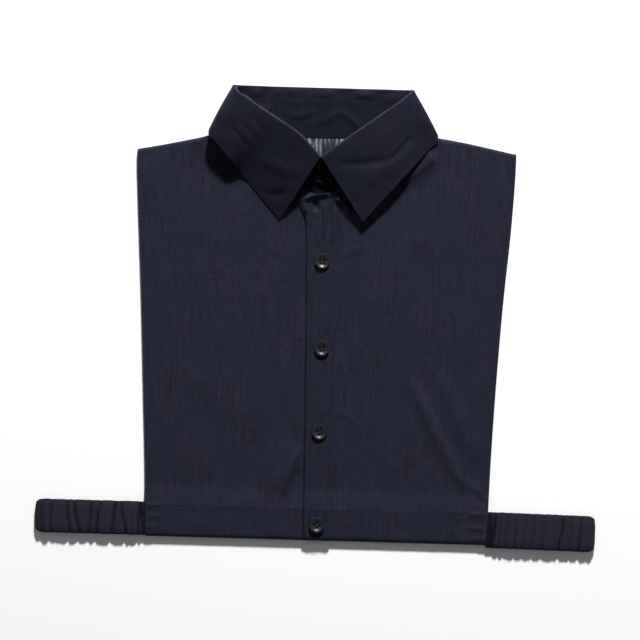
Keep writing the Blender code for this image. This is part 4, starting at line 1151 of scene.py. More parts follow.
def stand_points():
    inner_rows = np.linspace(STAND_INNER_ROWS.start, STAND_INNER_ROWS.end, STAND_ROWS - 4)
    rows = np.concatenate(([0.0, STAND_EDGE_ROW], inner_rows, [1.0 - STAND_EDGE_ROW, 1.0]))[:, None]
    columns = []
    for side, girth in girth_places(LAP_END_GIRTH):
        neck = collar_point(NECK_SEAM, side, girth)
        top = collar_point(STAND_TOP, side, girth)
        columns.append(neck[None, :] * (1.0 - rows) + top[None, :] * rows)
    points = np.stack(columns, axis=1)
    x, y = points[..., 0], points[..., 1]
    waves = crease_height(STAND_CREASES, x, y) + crumple(x, y, STAND_WAVES)
    lying = 1.0 - smooth_step(STAND_LYING.start, STAND_LYING.end, points[..., 2])
    points[..., 2] += waves * lying
    return points


def collar_cut(points):
    """The flat pattern of a collar piece: lengths along it and across it."""
    along = np.linalg.norm(np.diff(points, axis=1), axis=2).mean(axis=0)
    across = np.linalg.norm(np.diff(points, axis=0), axis=2).mean(axis=1)
    u = np.concatenate(([0.0], np.cumsum(along)))
    v = np.concatenate(([0.0], np.cumsum(across)))
    return np.stack(np.meshgrid(u, v), axis=-1)


stand_grid = stand_points()
stand = cloth_grid("collar_stand_band", stand_grid, collar_cut(stand_grid), STAND_SHADED_COTTON)
give_wall(stand, STAND_WALL, 0.0)
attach(stand, "root")
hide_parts("collar_stand")


def grid_normals(points):
    normals = np.cross(np.gradient(points, axis=1), np.gradient(points, axis=0))
    return normals / np.linalg.norm(normals, axis=2)[..., None]


def along_grid(points, row, first, last, lift):
    """A line on a piece's row of points, lifted off the cloth to its own side."""
    return (points + grid_normals(points) * lift)[row, first:last]


stand_columns = stand_grid.shape[1]
stand_stitches = sew("stand_stitches", [
    along_grid(stand_grid, row, 2, stand_columns - 2, lift)
    for row, lift in (
        (STAND_STITCH_ROW, STAND_WALL / 2.0),
        (STAND_STITCH_ROW, -STAND_WALL / 2.0),
        (STAND_ROWS - 1 - STAND_STITCH_ROW, STAND_WALL / 2.0),
    )
])


# Collar leaf: the fall of the collar, two layers of the same cotton with a stiffening between,
# folded over above the stand, with two points at the front and a stitched line along its edges.
LEAF_WALL = 0.9
FoldPlace = namedtuple("FoldPlace", "girth across up height roll faces")
LEAF_FOLD_LEFT = (
    FoldPlace(0.0, 0.0, 379.6, 1.7, 1.0, -90.0),
    FoldPlace(45.0, 43.0, 379.6, 1.7, 1.0, -90.0),
    FoldPlace(72.0, 66.0, 379.8, 1.9, 1.1, -90.0),
    FoldPlace(83.0, 72.2, 379.8, 4.4, 1.8, -50.0),
    FoldPlace(89.0, 73.8, 379.6, 9.5, 2.2, 0.0),
    FoldPlace(95.0, 72.8, 377.8, 15.5, 2.0, 50.0),
    FoldPlace(104.0, 69.4, 372.8, 20.0, 1.7, 90.0),
    FoldPlace(112.0, 62.8, 369.3, 20.0, 1.5, 90.0),
    FoldPlace(120.0, 55.8, 364.1, 20.0, 1.4, 90.0),
    FoldPlace(145.0, 35.6, 351.4, 20.0, 1.4, 90.0),
    FoldPlace(170.0, 18.2, 340.0, 20.0, 1.4, 90.0),
    FoldPlace(193.0, 0.7, 322.0, 20.0, 1.4, 90.0),
)
LEAF_FOLD_RIGHT = (
    FoldPlace(0.0, 0.0, 379.6, 1.7, 1.0, -90.0),
    FoldPlace(45.0, 43.0, 379.6, 1.7, 1.0, -90.0),
    FoldPlace(72.0, 67.0, 379.6, 1.9, 1.1, -90.0),
    FoldPlace(83.0, 73.6, 379.6, 4.0, 1.8, -50.0),
    FoldPlace(89.0, 75.2, 379.4, 7.0, 2.0, 0.0),
    FoldPlace(95.0, 74.2, 378.0, 9.4, 2.0, 50.0),
    FoldPlace(104.0, 68.4, 372.8, 11.4, 1.9, 90.0),
    FoldPlace(145.0, 36.0, 348.6, 15.5, 1.8, 90.0),
    FoldPlace(193.0, 0.7, 322.0, 19.8, 1.5, 90.0),
)
EdgePlace = namedtuple("EdgePlace", "girth across up height belly")
LEAF_EDGE_LEFT = (
    EdgePlace(0.0, 0.0, 336.0, 0.72, 0.0),
    EdgePlace(45.0, 47.0, 336.2, 0.72, 0.0),
    EdgePlace(72.0, 75.0, 336.8, 0.72, 0.0),
    EdgePlace(83.0, 88.5, 343.0, 1.3, 0.6),
    EdgePlace(89.0, 95.3, 342.8, 9.0, 0.6),
    EdgePlace(95.0, 96.0, 338.0, 14.6, 1.0),
    EdgePlace(104.0, 90.5, 332.2, 17.4, 1.0),
    EdgePlace(120.0, 80.7, 321.0, 16.2, 1.0),
    EdgePlace(130.0, 74.6, 313.9, 12.6, 1.1),
    EdgePlace(140.0, 68.5, 306.9, 7.2, 1.2),
    EdgePlace(150.0, 62.3, 299.7, 4.6, 1.2),
    EdgePlace(193.0, 34.9, 268.2, 3.9, 0.8),
)
LEAF_EDGE_RIGHT = (
    EdgePlace(0.0, 0.0, 336.0, 0.72, 0.0),
    EdgePlace(45.0, 47.0, 336.2, 0.72, 0.0),
    EdgePlace(72.0, 75.0, 336.8, 0.72, 0.0),
    EdgePlace(83.0, 88.5, 343.0, 1.2, 0.4),
    EdgePlace(89.0, 95.3, 342.8, 5.2, 0.5),
    EdgePlace(95.0, 96.0, 338.0, 6.0, 0.8),
    EdgePlace(104.0, 90.5, 332.2, 6.4, 1.2),
    EdgePlace(120.0, 80.7, 321.0, 8.8, 1.2),
    EdgePlace(145.0, 65.5, 303.4, 11.8, 0.8),
    EdgePlace(193.0, 34.9, 268.2, 9.8, -1.6),
)
LEAF_EDGE_SHIFT = 1.7
LEAF_DYE = Dye((0.0041, 0.0041, 0.0105), (0.0071, 0.0072, 0.0163), (0.0110, 0.0111, 0.0232))
LEAF_BLUE = (0.0058, 0.0084, 0.0178)
LEAF_SEAM_ROOM = 0.12
LEAF_START_SHARES = (0.0, 0.03, 0.25, 0.5, 0.75)
LEAF_START_ROWS = len(LEAF_START_SHARES)
LEAF_ROLL_STEPS = 12
LEAF_RUN_ROWS = 34
LEAF_SEAM_BEND = 0.4
LEAF_EDGE_STITCH = 5.5
LEAF_STITCH_STEP = 2.0
LEAF_TOP_ROWS = Span(LEAF_START_ROWS + LEAF_ROLL_STEPS * 0.6, LEAF_START_ROWS + LEAF_ROLL_STEPS + 3.0)
LEAF_FACING = Span(5.0, 8.0)
LEAF_WAVES = Uneven(0.35, 15.0, 11.0, 9.3)
BAND_PUFFS = Uneven(1.5, 13.0, 5.5, 12.6)
BAND_LEAST_PUFF = -0.375
BAND_ROWS_IN = Span(1.0, 3.0)
BAND_ROWS_OUT = Span(LEAF_START_ROWS + 5.0, LEAF_START_ROWS + 8.0)
BAND_LYING = Span(4.0, 7.0)
LEAF_CREASES = (
    Crease(75.0, 343.0, 66.0, 333.0, 50.0, 315.0, 1.9, -1.0),
    Crease(78.0, 336.0, 70.0, 326.0, 58.0, 314.0, 2.4, 0.6),
    Crease(58.0, 323.0, 34.0, 313.5, 3.0, 317.0, 3.2, -1.3),
    Crease(66.0, 326.0, 50.0, 308.0, 30.0, 298.0, 6.0, 0.7),
    Crease(-78.0, 345.0, -72.0, 334.0, -60.0, 324.0, 1.8, -0.7),
    Crease(-71.0, 349.0, -64.0, 340.0, -54.0, 330.0, 1.8, -0.6),
    Crease(-64.0, 356.0, -55.0, 346.0, -48.0, 338.0, 2.6, -0.5),
    Crease(-58.0, 290.5, -44.0, 286.5, -28.0, 292.0, 3.0, -1.2),
    Crease(-60.0, 322.0, -40.0, 310.0, -20.0, 308.0, 4.5, 0.8),
    Crease(-34.0, 318.0, -26.0, 306.0, -28.0, 296.0, 1.8, -0.5),
)
BAND_CREASES = (
    Crease(-68.0, 375.0, -59.0, 373.5, -49.0, 375.0, 2.4, 2.1),
    Crease(-57.0, 379.5, -53.0, 380.0, -49.0, 379.5, 2.0, 0.9),
    Crease(-47.0, 373.0, -42.0, 376.5, -36.0, 373.0, 2.4, 1.5),
    Crease(-33.0, 374.0, -30.0, 377.0, -26.0, 376.0, 2.2, 0.9),
    Crease(-14.0, 373.0, -4.0, 376.0, 8.0, 373.5, 2.2, 1.0),
    Crease(20.0, 374.0, 30.0, 376.5, 44.0, 374.5, 2.2, 1.1),
    Crease(50.0, 374.0, 58.0, 372.5, 68.0, 375.0, 2.2, 1.2),
)
# Painted highlight: a paler line along the crown of the leaf's front folds, where they face the light;
# stronger on the left.
FOLD_PAINTED_HIGHLIGHT = ShadeAndHighlight((0.0052, 0.0053, 0.0122), (0.036, 0.036, 0.054))
FOLD_PAINTED_HIGHLIGHT_TURN = 35.0
FOLD_PAINTED_HIGHLIGHT_SPAN = 26.0
FOLD_PAINTED_HIGHLIGHT_GIRTHS = Span(94.0, 104.0)
FOLD_PAINTED_HIGHLIGHT_LEFT = 0.6
FOLD_PAINTED_HIGHLIGHT_RIGHT = 0.36
FOLD_PAINTED_HIGHLIGHT_UNEVEN = Uneven(1.0, 9.0, 0.7, 4.1)
FOLD_PAINTED_HIGHLIGHT_LEAST = 0.4
FOLD_PAINTED_HIGHLIGHT_MOST = 1.3


def leaf_place(table, side, girth, shift=0.0):
    columns = ("across", "up", "height")
    across, up, height = (curve_value(table, "girth", column, girth) for column in columns)
    return np.array([COLLAR_CENTRE_X + shift + side * across, up, height])


def leaf_section(side, girth):
    """Points across the leaf: up from the stand's seam, round the fold and out to the edge."""
    folds = LEAF_FOLD_LEFT if side < 0 else LEAF_FOLD_RIGHT
    edges = LEAF_EDGE_LEFT if side < 0 else LEAF_EDGE_RIGHT
    neck = collar_point(NECK_SEAM, side, girth)
    top = collar_point(STAND_TOP, side, girth)
    fold = leaf_place(folds, side, girth)
    edge = leaf_place(edges, side, girth, LEAF_EDGE_SHIFT)
    angle = math.radians(curve_value(folds, "girth", "faces", girth))
    away = np.array([side * math.cos(angle), 0.0, math.sin(angle)])
    rise = fold - neck
    rise -= away * rise.dot(away)
    rise /= np.linalg.norm(rise)
    roll = curve_value(folds, "girth", "roll", girth)
    belly = curve_value(edges, "girth", "belly", girth)
    centre = fold - rise * roll
    along_stand = (top - neck) / np.linalg.norm(top - neck)
    start = top + along_stand * LEAF_SEAM_ROOM
    inner = centre - away * roll
    bend = start + along_stand * (np.linalg.norm(inner - start) * LEAF_SEAM_BEND)
    points = []
    for share in LEAF_START_SHARES:
        points.append((1.0 - share) ** 2 * start + 2.0 * share * (1.0 - share) * bend + share ** 2 * inner)
    for step in range(LEAF_ROLL_STEPS + 1):
        turn = math.radians(180.0 * step / LEAF_ROLL_STEPS - 90.0)
        points.append(centre + rise * (roll * math.cos(turn)) + away * (roll * math.sin(turn)))
    outer = centre + away * roll
    for step in range(1, LEAF_RUN_ROWS + 1):
        share = step / LEAF_RUN_ROWS
        bulge = away * (belly * math.sin(math.pi * share))
        points.append(outer * (1.0 - share) + edge * share + bulge)
    return np.array(points)


def leaf_points():
    columns = [leaf_section(side, girth) for side, girth in girth_places(CENTRE_FRONT_GIRTH)]
    points = np.stack(columns, axis=1)
    x, y = points[..., 0], points[..., 1]
    row = np.arange(points.shape[0])[:, None]
    on_top = smooth_step(LEAF_TOP_ROWS.start, LEAF_TOP_ROWS.end, row)
    facing = smooth_step(LEAF_FACING.start, LEAF_FACING.end, points[..., 2])
    waves = crease_height(LEAF_CREASES, x, y) + crumple(x, y, LEAF_WAVES)
    points[..., 2] += waves * on_top * facing
    puffs = np.maximum(crumple(x, y, BAND_PUFFS), BAND_LEAST_PUFF) + crease_height(BAND_CREASES, x, y)
    band = smooth_step(BAND_ROWS_IN.start, BAND_ROWS_IN.end, row)
    band = band * (1.0 - smooth_step(BAND_ROWS_OUT.start, BAND_ROWS_OUT.end, row))
    points[..., 2] += puffs * band * (1.0 - smooth_step(BAND_LYING.start, BAND_LYING.end, points[..., 2]))
    return points


def fold_painted_highlights(points):
    """Where the leaf gets a painted highlight: along the crown of its front folds, more so on the left."""
    rows, columns = points.shape[:2]
    turn = 180.0 * (np.arange(rows) - LEAF_START_ROWS) / LEAF_ROLL_STEPS - 90.0
    crown = np.exp(-((turn - FOLD_PAINTED_HIGHLIGHT_TURN) / FOLD_PAINTED_HIGHLIGHT_SPAN) ** 2)[:, None]
    sides, girths = np.array(girth_places(CENTRE_FRONT_GIRTH)).T
    front = smooth_step(FOLD_PAINTED_HIGHLIGHT_GIRTHS.start, FOLD_PAINTED_HIGHLIGHT_GIRTHS.end, girths)
    front = front * np.where(sides < 0, FOLD_PAINTED_HIGHLIGHT_LEFT, FOLD_PAINTED_HIGHLIGHT_RIGHT)
    strength = np.clip(1.0 + crumple(girths, sides, FOLD_PAINTED_HIGHLIGHT_UNEVEN), FOLD_PAINTED_HIGHLIGHT_LEAST, FOLD_PAINTED_HIGHLIGHT_MOST)
    return PLAIN_CREST + crown * (front * strength)[None, :]


leaf_grid = leaf_points()
LEAF_COTTON = slub_cotton(
    "leaf_cotton", LEAF_DYE, LEAF_BLUE, COLLAR_ROUGHNESS, streaks=0.5, gathers=FOLD_PAINTED_HIGHLIGHT)
leaf = cloth_grid("collar_leaf_fall", leaf_grid, collar_cut(leaf_grid), LEAF_COTTON)
mark_crests(leaf, fold_painted_highlights(leaf_grid))
give_wall(leaf, LEAF_WALL, 0.0)
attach(leaf, "root")
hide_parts("collar_leaf")


def leaf_edge_line(columns, last_column):
    """The stitched line inside the leaf's edges: along its outer edge and up its front edge."""
    run = slice(LEAF_START_ROWS + LEAF_ROLL_STEPS, None)
    places = (leaf_grid + grid_normals(leaf_grid) * LEAF_WALL / 2.0)[run]
    line = []
    for column in [*columns, last_column]:
        inward = places[::-1, column]
        steps = np.linalg.norm(np.diff(inward, axis=0), axis=1)
        lengths = np.concatenate(([0.0], np.cumsum(steps)))
        stops = [LEAF_EDGE_STITCH]
        if column == last_column:
            stops = np.arange(LEAF_EDGE_STITCH, lengths[-1] - LEAF_STITCH_STEP, LEAF_STITCH_STEP)
        for stop in stops:
            line.append([np.interp(stop, lengths, inward[:, axis]) for axis in range(3)])
    return np.array(line)


FRONT_EDGE_COLUMNS = 3
leaf_middle = leaf_grid.shape[1] // 2
leaf_last = leaf_grid.shape[1] - 1
leaf_stitches = sew("leaf_stitches", [
    leaf_edge_line(range(leaf_middle, FRONT_EDGE_COLUMNS, -1), FRONT_EDGE_COLUMNS),
    leaf_edge_line(range(leaf_middle, leaf_last - FRONT_EDGE_COLUMNS), leaf_last - FRONT_EDGE_COLUMNS),
])


# Side straps: each is a narrow cotton casing gathered over a flat elastic and folded into a loop
# from the front hem to the back hem. The left one has few, slanted gathers, the right one fine
# and even ones.
STRAP_END_X = 234.7
STRAP_THICKNESS = 2.4
STRAP_WALL = 0.5
STRAP_LAYER_SHIFT = 0.9
STRAP_CORNER = 4.0
STRAP_NARROWING = 0.20
STRAP_FOLD_RADIUS = 1.35
STRAP_FACE_POINTS = 22
STRAP_EDGE_POINTS = 5
STRAP_STEP = 0.75
STRAP_NOSE_STEPS = 8
STRAP_SEAM = 1.0
STRAP_SEAM_FADE = 4.0
STRAP_BACK_STEP = 1.6
STRAP_SCALLOP = 0.45
ELASTIC_EDGE = 3.2
ELASTIC_DIP = 0.5
Gather = namedtuple("Gather", "along lean half_width height")
StrapPlace = namedtuple("StrapPlace", "base height end_drop")
LEFT_STRAP_PLACE = StrapPlace(1.9, 26.6, 0.0)
RIGHT_STRAP_PLACE = StrapPlace(-0.9, 28.6, 1.2)
LEFT_GATHERS = (
    Gather(86.0, 0.5, 3.7, -0.7),
    Gather(78.5, -0.6, 3.2, -1.3),
    Gather(64.0, 1.8, 2.9, -1.6),
    Gather(57.4, 4.7, 3.2, -1.5),
    Gather(51.0, -1.0, 4.4, -0.5),
    Gather(45.3, -3.0, 3.7, -1.3),
    Gather(38.8, -4.1, 3.4, -1.2),
    Gather(32.5, 0.5, 4.8, -0.4),
    Gather(26.0, -4.2, 3.1, -1.4),
    Gather(18.2, 4.1, 3.1, -1.4),
    Gather(11.0, -1.0, 3.7, -0.6),
    Gather(5.0, -2.0, 2.7, -1.4),
    Gather(2.4, 1.0, 2.4, -1.5),
)
RIGHT_GATHERS = (
    Gather(2.4, -1.0, 2.4, -1.7),
    Gather(5.6, 1.6, 2.7, -1.7),
    Gather(10.0, -1.0, 2.5, -1.2),
    Gather(15.5, 1.0, 2.4, -0.7),
    Gather(23.0, -1.0, 2.2, -0.8),
    Gather(31.0, 1.5, 2.5, -0.7),
    Gather(38.0, -0.5, 2.2, -0.9),
    Gather(46.5, 1.0, 2.4, -0.7),
    Gather(55.0, -1.5, 2.5, -0.9),
    Gather(61.5, 3.0, 2.9, -1.4),
    Gather(69.0, -1.0, 2.4, -0.7),
    Gather(77.5, 2.0, 2.7, -1.2),
    Gather(84.0, 0.5, 2.4, -0.7),
)
GATHER_FULL = 1.5
GATHER_MOST = 2.0
BOW_OF_GATHERS = 0.8
FINE_GATHERS = Uneven(0.5, 1.9, 16.0, 0.0)
LOOSE_GATHERS = Uneven(0.9, 6.5, 8.0, 3.0)
SEAM_DRAW = Uneven(2.2, 5.0, 9.0, 7.0)
LOWER_LAYER_WAVE = 0.35
NOSE_START = 0.1
LOWER_FACE_CREST = 0.6
SHADED_EDGE = 0.6
SHADED_EDGE_SPAN = Span(0.3, 0.5)
STRAP_DYE = Dye((0.0085, 0.0087, 0.0167), (0.0113, 0.0115, 0.0207), (0.0151, 0.0151, 0.0254))
# Painted shade in the troughs of the strap's gathers, and a painted highlight on their crests.
STRAP_GATHER_SHADE_AND_HIGHLIGHT = ShadeAndHighlight((0.0026, 0.0026, 0.0070), (0.0155, 0.0160, 0.0262))
STRAP_BLUE = (0.0098, 0.0116, 0.0205)
STRAP_ROUGHNESS = 0.80
STRAP_COTTON = slub_cotton(
    "strap_cotton", STRAP_DYE, STRAP_BLUE, STRAP_ROUGHNESS, gathers=STRAP_GATHER_SHADE_AND_HIGHLIGHT)


def seeded(uneven, seed):
    """The same kind of unevenness at another place of the pattern, so that no two straps match."""
    return uneven._replace(seed=seed + uneven.seed)


def gather_height(gathers, along, share_up, height, seed):
    up = share_up * height
    lift = 0.0
    for gather in gathers:
        bow = BOW_OF_GATHERS * (1.0 - (2.0 * share_up) ** 2)
        centre = gather.along + gather.lean * share_up + bow
        lift = lift + gather.height * np.exp(-((along - centre) / (0.5 * gather.half_width)) ** 2)
    fine = crumple(along, up, seeded(FINE_GATHERS, seed)) + crumple(along, up, seeded(LOOSE_GATHERS, seed))
    return np.clip(GATHER_FULL + lift + fine, 0.0, GATHER_MOST)


def strap_points(side, place, gathers, seed):
    """Rings round the casing, one after another along the folded loop."""
    nose_x = STRAP_END_X - STRAP_THICKNESS / 2.0 - STRAP_FOLD_RADIUS
    length = nose_x - side_x(STITCHED_HEM, side)
    lower_z = STRAP_THICKNESS / 2.0
    upper_z = lower_z + 2.0 * STRAP_FOLD_RADIUS
    out = np.arange(0.0, length, STRAP_STEP)
    back = np.arange(length, 0.0, -STRAP_BACK_STEP)
    path = [(along, 0.0, upper_z, 0.0) for along in out]
    for step in range(STRAP_NOSE_STEPS + 1):
        turn = math.pi * step / STRAP_NOSE_STEPS
        reach = STRAP_FOLD_RADIUS * math.sin(turn)
        middle = (upper_z + lower_z) / 2.0
        path.append((length, reach, middle + STRAP_FOLD_RADIUS * math.cos(turn), turn))
    path += [(along, 0.0, lower_z, math.pi) for along in [*back, 0.0]]
    half = STRAP_THICKNESS / 2.0
    ring = [(share, half) for share in np.linspace(-0.5, 0.5, STRAP_FACE_POINTS)]
    rounding = 0.5 * half / place.height
    for step in range(1, STRAP_EDGE_POINTS):
        turn = math.pi * step / STRAP_EDGE_POINTS
        ring.append((0.5 + rounding * math.sin(turn), half * math.cos(turn)))
    ring += [(share, -half) for share in np.linspace(0.5, -0.5, STRAP_FACE_POINTS)]
    for step in range(1, STRAP_EDGE_POINTS):
        turn = math.pi * step / STRAP_EDGE_POINTS
        ring.append((-0.5 - rounding * math.sin(turn), -half * math.cos(turn)))
    share_up = np.array([point[0] for point in ring])[:, None]
    through = np.array([point[1] for point in ring])[:, None]
    along, reach, z, turn = (np.array(column)[None, :] for column in zip(*path))
    corner = (along + reach - length + STRAP_CORNER) / (STRAP_CORNER + STRAP_FOLD_RADIUS)
    end = 1.0 - np.sqrt(1.0 - np.clip(corner, 0.0, 1.0) ** 2)
    up = share_up * place.height * (1.0 - STRAP_NARROWING * end)
    drawn_in = crumple(share_up * place.height, along, seeded(SEAM_DRAW, seed))
    sewn = smooth_step(STRAP_SEAM, STRAP_SEAM_FADE, along + drawn_in)
    wave = gather_height(gathers, along, share_up + 0.0 * along, place.height, seed) * sewn
    y = place.base + place.height / 2.0 + up + STRAP_SCALLOP * share_up * (wave - GATHER_FULL)
    y = y - STRAP_LAYER_SHIFT * np.sin(turn / 2.0) ** 2 - place.end_drop * along / length
    seam_x = side_x(np.maximum(y, 0.0), side)
    x = seam_x + (nose_x - seam_x) * along / length + reach
    flat_edge = np.exp(-((np.abs(share_up) - 0.5) * place.height / ELASTIC_EDGE) ** 2)
    layer = np.where(turn < NOSE_START, 1.0, LOWER_LAYER_WAVE)
    outer = through + wave * layer * (through > 0.0)
    outer = outer - ELASTIC_DIP * flat_edge * np.sign(through)
    x = x + outer * np.sin(turn)
    z = z + outer * np.cos(turn)
    points = np.stack(np.broadcast_arrays(side * x, y, np.maximum(z, 0.0)), axis=-1)
    # Painted light on the casing's face: troughs get painted shade and crests a painted highlight, which
    # fades out along the lower edge; the back layer is set a little paler throughout.
    shade = SHADED_EDGE * smooth_step(SHADED_EDGE_SPAN.start, SHADED_EDGE_SPAN.end, -share_up)
    crests = np.where(through > 0.0, wave / GATHER_FULL * (1.0 - shade), LOWER_FACE_CREST)
    crests = np.broadcast_to(crests, points.shape[:2])
    return points[::side], crests[::side]


def strap_casing(name, node, side, place, gathers, seed):
    points, crests = strap_points(side, place, gathers, seed)
    closed = np.concatenate((points, points[:1]))
    item = cloth_grid(name, points, collar_cut(closed), STRAP_COTTON, ring=True)
    mark_crests(item, crests)
    give_wall(item, STRAP_WALL, -1.0)
    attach(item, "root")
    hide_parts(node)
    return item


LEFT_STRAP_SEED = 2.0
RIGHT_STRAP_SEED = 6.0
strap_casing(
    "left_strap_casing", "left_strap", -1, LEFT_STRAP_PLACE, LEFT_GATHERS, LEFT_STRAP_SEED)
strap_casing(
    "right_strap_casing", "right_strap", 1, RIGHT_STRAP_PLACE, RIGHT_GATHERS, RIGHT_STRAP_SEED)


# Buttons: glossy black four-hole shirt buttons, turned with a dished face and a round rim, and
# sewn on through their holes with two bars of black thread. The one at the neck gets darker
# colours and a weaker coat as painted shade, for the collar's shadow over it, and is pressed down
# between the two halves of the leaf.
BUTTON_HEIGHT = 2.6
BUTTON_HOLE_RADIUS = 0.95
BUTTON_HOLE_SPACING = 3.05
BUTTON_STEPS = 64
BUTTON_MERGE = 0.01
BUTTON_SHARP = math.radians(40.0)
DRILL_SIDES = 16
Turned = namedtuple("Turned", "radius height")
BUTTON_PROFILE = (
    Turned(0.0, 0.95),
    Turned(1.4, 0.97),
    Turned(2.5, 1.08),
    Turned(3.3, 1.30),
    Turned(4.0, 1.64),
    Turned(4.7, 2.06),
    Turned(5.15, 2.22),
    Turned(5.55, 2.26),
    Turned(6.0, 2.24),
    Turned(6.18, 2.04),
    Turned(6.24, 1.70),
    Turned(6.25, 1.35),
    Turned(6.15, 1.0),
    Turned(5.8, 0.52),
    Turned(5.3, 0.20),
    Turned(4.6, 0.0),
    Turned(0.0, 0.0),
)
ButtonPlace = namedtuple("ButtonPlace", "node tilt_x tilt_y turn sink")
BUTTONS = (
    ButtonPlace("button_neck", 8.6, 0.0, 20.0, 1.2),
    ButtonPlace("button_1", 0.0, 1.5, -10.0, -0.1),
    ButtonPlace("button_2", 1.0, 0.0, 8.0, -0.1),
    ButtonPlace("button_3", 0.0, 0.0, 24.0, -0.1),
    ButtonPlace("button_4", 0.0, 3.0, 35.0, 0.0),
)
STRAND_RADIUS = 0.15
STRAND_SIDES = 6
STRAND_SPREAD = 0.28
STRAND_RISE = 0.34
STRAND_DROP = 0.32
STRAND_IN_HOLE = 0.7
STRAND_ON_FACE = 0.92
STRAND_FLATNESS = 0.6
OUTER_STRAND_LOWER = 0.08
STRAND_FACE_SPAN = Span(0.12, 0.88)
STRAND_FACE_POINTS = 7
SPREAD_STRANDS = (-1.0, 0.0, 1.0)
Gloss = namedtuple("Gloss", "deep pale coat")
PLACKET_GLOSS = Gloss((0.0030, 0.0031, 0.0045), (0.0080, 0.0082, 0.0100), 0.55)
# Painted shade: the neck button's darker colours and weaker coat.
NECK_SHADED_GLOSS = Gloss((0.0012, 0.0013, 0.0022), (0.0040, 0.0042, 0.0055), 0.06)
GLOSS_ROUGHNESS = 0.37
GLOSS_CLOUD = 0.12
GLOSS_CLOUD_SCALE = 260.0
GLOSS_GRAIN_SCALE = 900.0
GLOSS_RELIEF = 0.15
GLOSS_DEPTH = 0.05
COAT_SHARE = 0.7
COAT_ROUGHNESS = 0.1


def button_gloss(name, gloss):
    look = Look(name, GLOSS_ROUGHNESS)
    place = look.add("ShaderNodeTexCoord", {}, {}, output=OBJECT_PLACE)
    cloud = look.pattern(place, GLOSS_CLOUD_SCALE, 3.0, 0.6)
    grain = look.pattern(place, GLOSS_GRAIN_SCALE, 2.0, 0.5)
    look.feed(look.shader.inputs["Base Color"], look.blend(cloud, gloss.deep, gloss.pale))
    look.feed(look.shader.inputs["Roughness"], GLOSS_ROUGHNESS + cloud * GLOSS_CLOUD)
    look.relief(grain, GLOSS_RELIEF, GLOSS_DEPTH)
    look.shader.inputs["Specular IOR Level"].default_value = gloss.coat
    look.shader.inputs["Coat Weight"].default_value = COAT_SHARE * gloss.coat
    look.shader.inputs["Coat Roughness"].default_value = COAT_ROUGHNESS
    return look.material


BUTTON_GLOSS = button_gloss("button_gloss", PLACKET_GLOSS)
NECK_BUTTON_SHADED_GLOSS = button_gloss("neck_button_shaded_gloss", NECK_SHADED_GLOSS)
BUTTON_THREAD = thread_look("black_button_thread", (0.007, 0.007, 0.010))


def button_body():
    """The turned disc with its four thread holes, standing on the origin."""
    profile = bpy.data.meshes.new("button_profile")
    points = [(place.radius * MM, 0.0, place.height * MM) for place in BUTTON_PROFILE]
    profile.from_pydata(points, [(step, step + 1) for step in range(len(points) - 1)], [])
    disc = bpy.data.objects.new("button_disc", profile)
    bpy.context.scene.collection.objects.link(disc)
    turned = disc.modifiers.new("turned", "SCREW")
    turned.angle = 2.0 * math.pi
    turned.steps = BUTTON_STEPS
    turned.render_steps = BUTTON_STEPS
    turned.use_merge_vertices = True
    turned.merge_threshold = BUTTON_MERGE * MM
    drill = bpy.data.meshes.new("button_drill")
    corners = []
    faces = []
    for across in (-0.5, 0.5):
        for along in (-0.5, 0.5):
            first = len(corners)
            for height in (-BUTTON_HEIGHT, 2.0 * BUTTON_HEIGHT):
                for step in range(DRILL_SIDES):
                    turn = 2.0 * math.pi * step / DRILL_SIDES
                    corners.append((
                        (across * BUTTON_HOLE_SPACING + BUTTON_HOLE_RADIUS * math.cos(turn)) * MM,
                        (along * BUTTON_HOLE_SPACING + BUTTON_HOLE_RADIUS * math.sin(turn)) * MM,
                        height * MM,
                    ))
            ring = list(range(first, first + DRILL_SIDES))
            faces.append(ring[::-1])
            faces.append([place + DRILL_SIDES for place in ring])
            for step in range(DRILL_SIDES):
                after = ring[(step + 1) % DRILL_SIDES]
                faces.append([ring[step], after, after + DRILL_SIDES, ring[step] + DRILL_SIDES])
    drill.from_pydata(corners, [], faces)
    drills = bpy.data.objects.new("button_drill", drill)
    bpy.context.scene.collection.objects.link(drills)
    cut = disc.modifiers.new("thread_holes", "BOOLEAN")
    cut.operation = "DIFFERENCE"
    cut.object = drills
    cut.solver = "EXACT"
    bpy.context.view_layer.update()
    body = bpy.data.meshes.new_from_object(disc.evaluated_get(bpy.context.evaluated_depsgraph_get()))
    bpy.data.objects.remove(disc, do_unlink=True)
    bpy.data.objects.remove(drills, do_unlink=True)
    body.materials.clear()
    body.materials.append(BUTTON_GLOSS)
    body.shade_smooth()
    body.set_sharp_from_angle(angle=BUTTON_SHARP)
    return body


def strand(start, end, rise):
    """Points of one strand of thread: up through a hole, over the face and down the next one."""
    start, end = np.array(start), np.array(end)
    path = [np.append(start, -STRAND_DROP), np.append(start, STRAND_IN_HOLE)]
    for share in np.linspace(STRAND_FACE_SPAN.start, STRAND_FACE_SPAN.end, STRAND_FACE_POINTS):
        place = start * (1.0 - share) + end * share
        arch = rise * math.sin(math.pi * share) ** STRAND_FLATNESS
        path.append(np.append(place, STRAND_ON_FACE + arch))
    path += [np.append(end, STRAND_IN_HOLE), np.append(end, -STRAND_DROP)]
    return np.array(path)


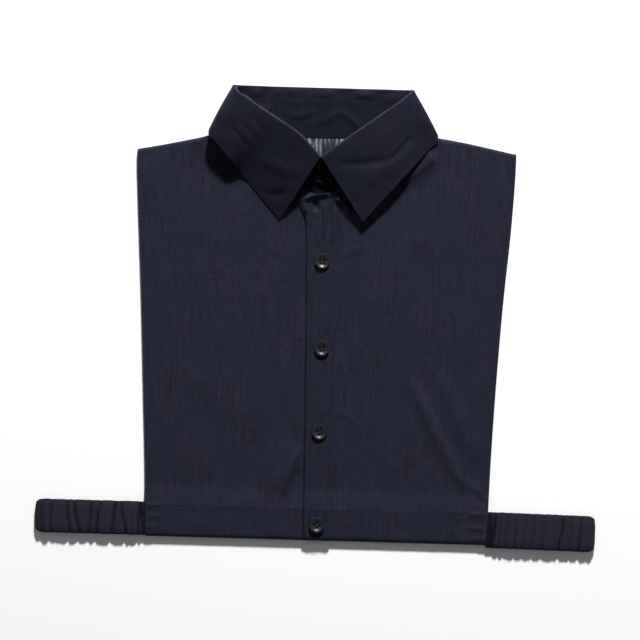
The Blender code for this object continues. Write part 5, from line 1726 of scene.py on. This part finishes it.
def button_thread():
    """Two bars of three strands each, over the face of the button."""
    points = []
    faces = []
    half = BUTTON_HOLE_SPACING / 2.0
    for bar in (-half, half):
        for spread in SPREAD_STRANDS:
            shift = bar + spread * STRAND_SPREAD
            rise = STRAND_RISE - OUTER_STRAND_LOWER * abs(spread)
            path = strand((-half, shift), (half, shift), rise)
            along = np.gradient(path, axis=0)
            along /= np.linalg.norm(along, axis=1)[:, None]
            sideways = np.array([0.0, 1.0, 0.0])
            upward = np.cross(along, sideways)
            first = len(points)
            for place, up in zip(path, upward):
                for step in range(STRAND_SIDES):
                    turn = 2.0 * math.pi * step / STRAND_SIDES
                    points.append(place + STRAND_RADIUS * (math.cos(turn) * sideways + math.sin(turn) * up))
            for ring in range(len(path) - 1):
                low = first + ring * STRAND_SIDES
                high = low + STRAND_SIDES
                for step in range(STRAND_SIDES):
                    after = (step + 1) % STRAND_SIDES
                    faces.append((low + step, low + after, high + after, high + step))
            faces.append(list(range(first, first + STRAND_SIDES))[::-1])
            last = first + (len(path) - 1) * STRAND_SIDES
            faces.append(list(range(last, last + STRAND_SIDES)))
    mesh = bpy.data.meshes.new("button_thread")
    mesh.from_pydata([tuple(point * MM) for point in points], [], faces)
    mesh.materials.append(BUTTON_THREAD)
    mesh.shade_smooth()
    return mesh


def set_in_place(name, shape, place):
    """A copy of the button's or the thread's mesh where the frame has this button."""
    low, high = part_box(place.node)
    tilt = Euler((math.radians(place.tilt_x), math.radians(place.tilt_y), 0.0)).to_matrix()
    spin = Matrix.Rotation(math.radians(place.turn), 3, "Z")
    middle = (Vector(low) + Vector(high)) / 2.0
    foot = middle - tilt @ Vector((0.0, 0.0, BUTTON_HEIGHT / 2.0 * MM))
    foot = foot - Vector((0.0, 0.0, place.sink * MM))
    mesh = shape.copy()
    mesh.transform(Matrix.LocRotScale(foot, tilt @ spin, None))
    mesh.name = name
    item = bpy.data.objects.new(name, mesh)
    bpy.context.scene.collection.objects.link(item)
    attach(item, "root")
    return item


button_shape = button_body()
thread_shape = button_thread()
for place in BUTTONS:
    body = set_in_place(place.node + "_disc", button_shape, place)
    # The neck button gets the material with painted shade.
    if place.node == "button_neck":
        body.data.materials[0] = NECK_BUTTON_SHADED_GLOSS
    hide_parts(place.node)
    set_in_place(place.node + "_thread", thread_shape, place)
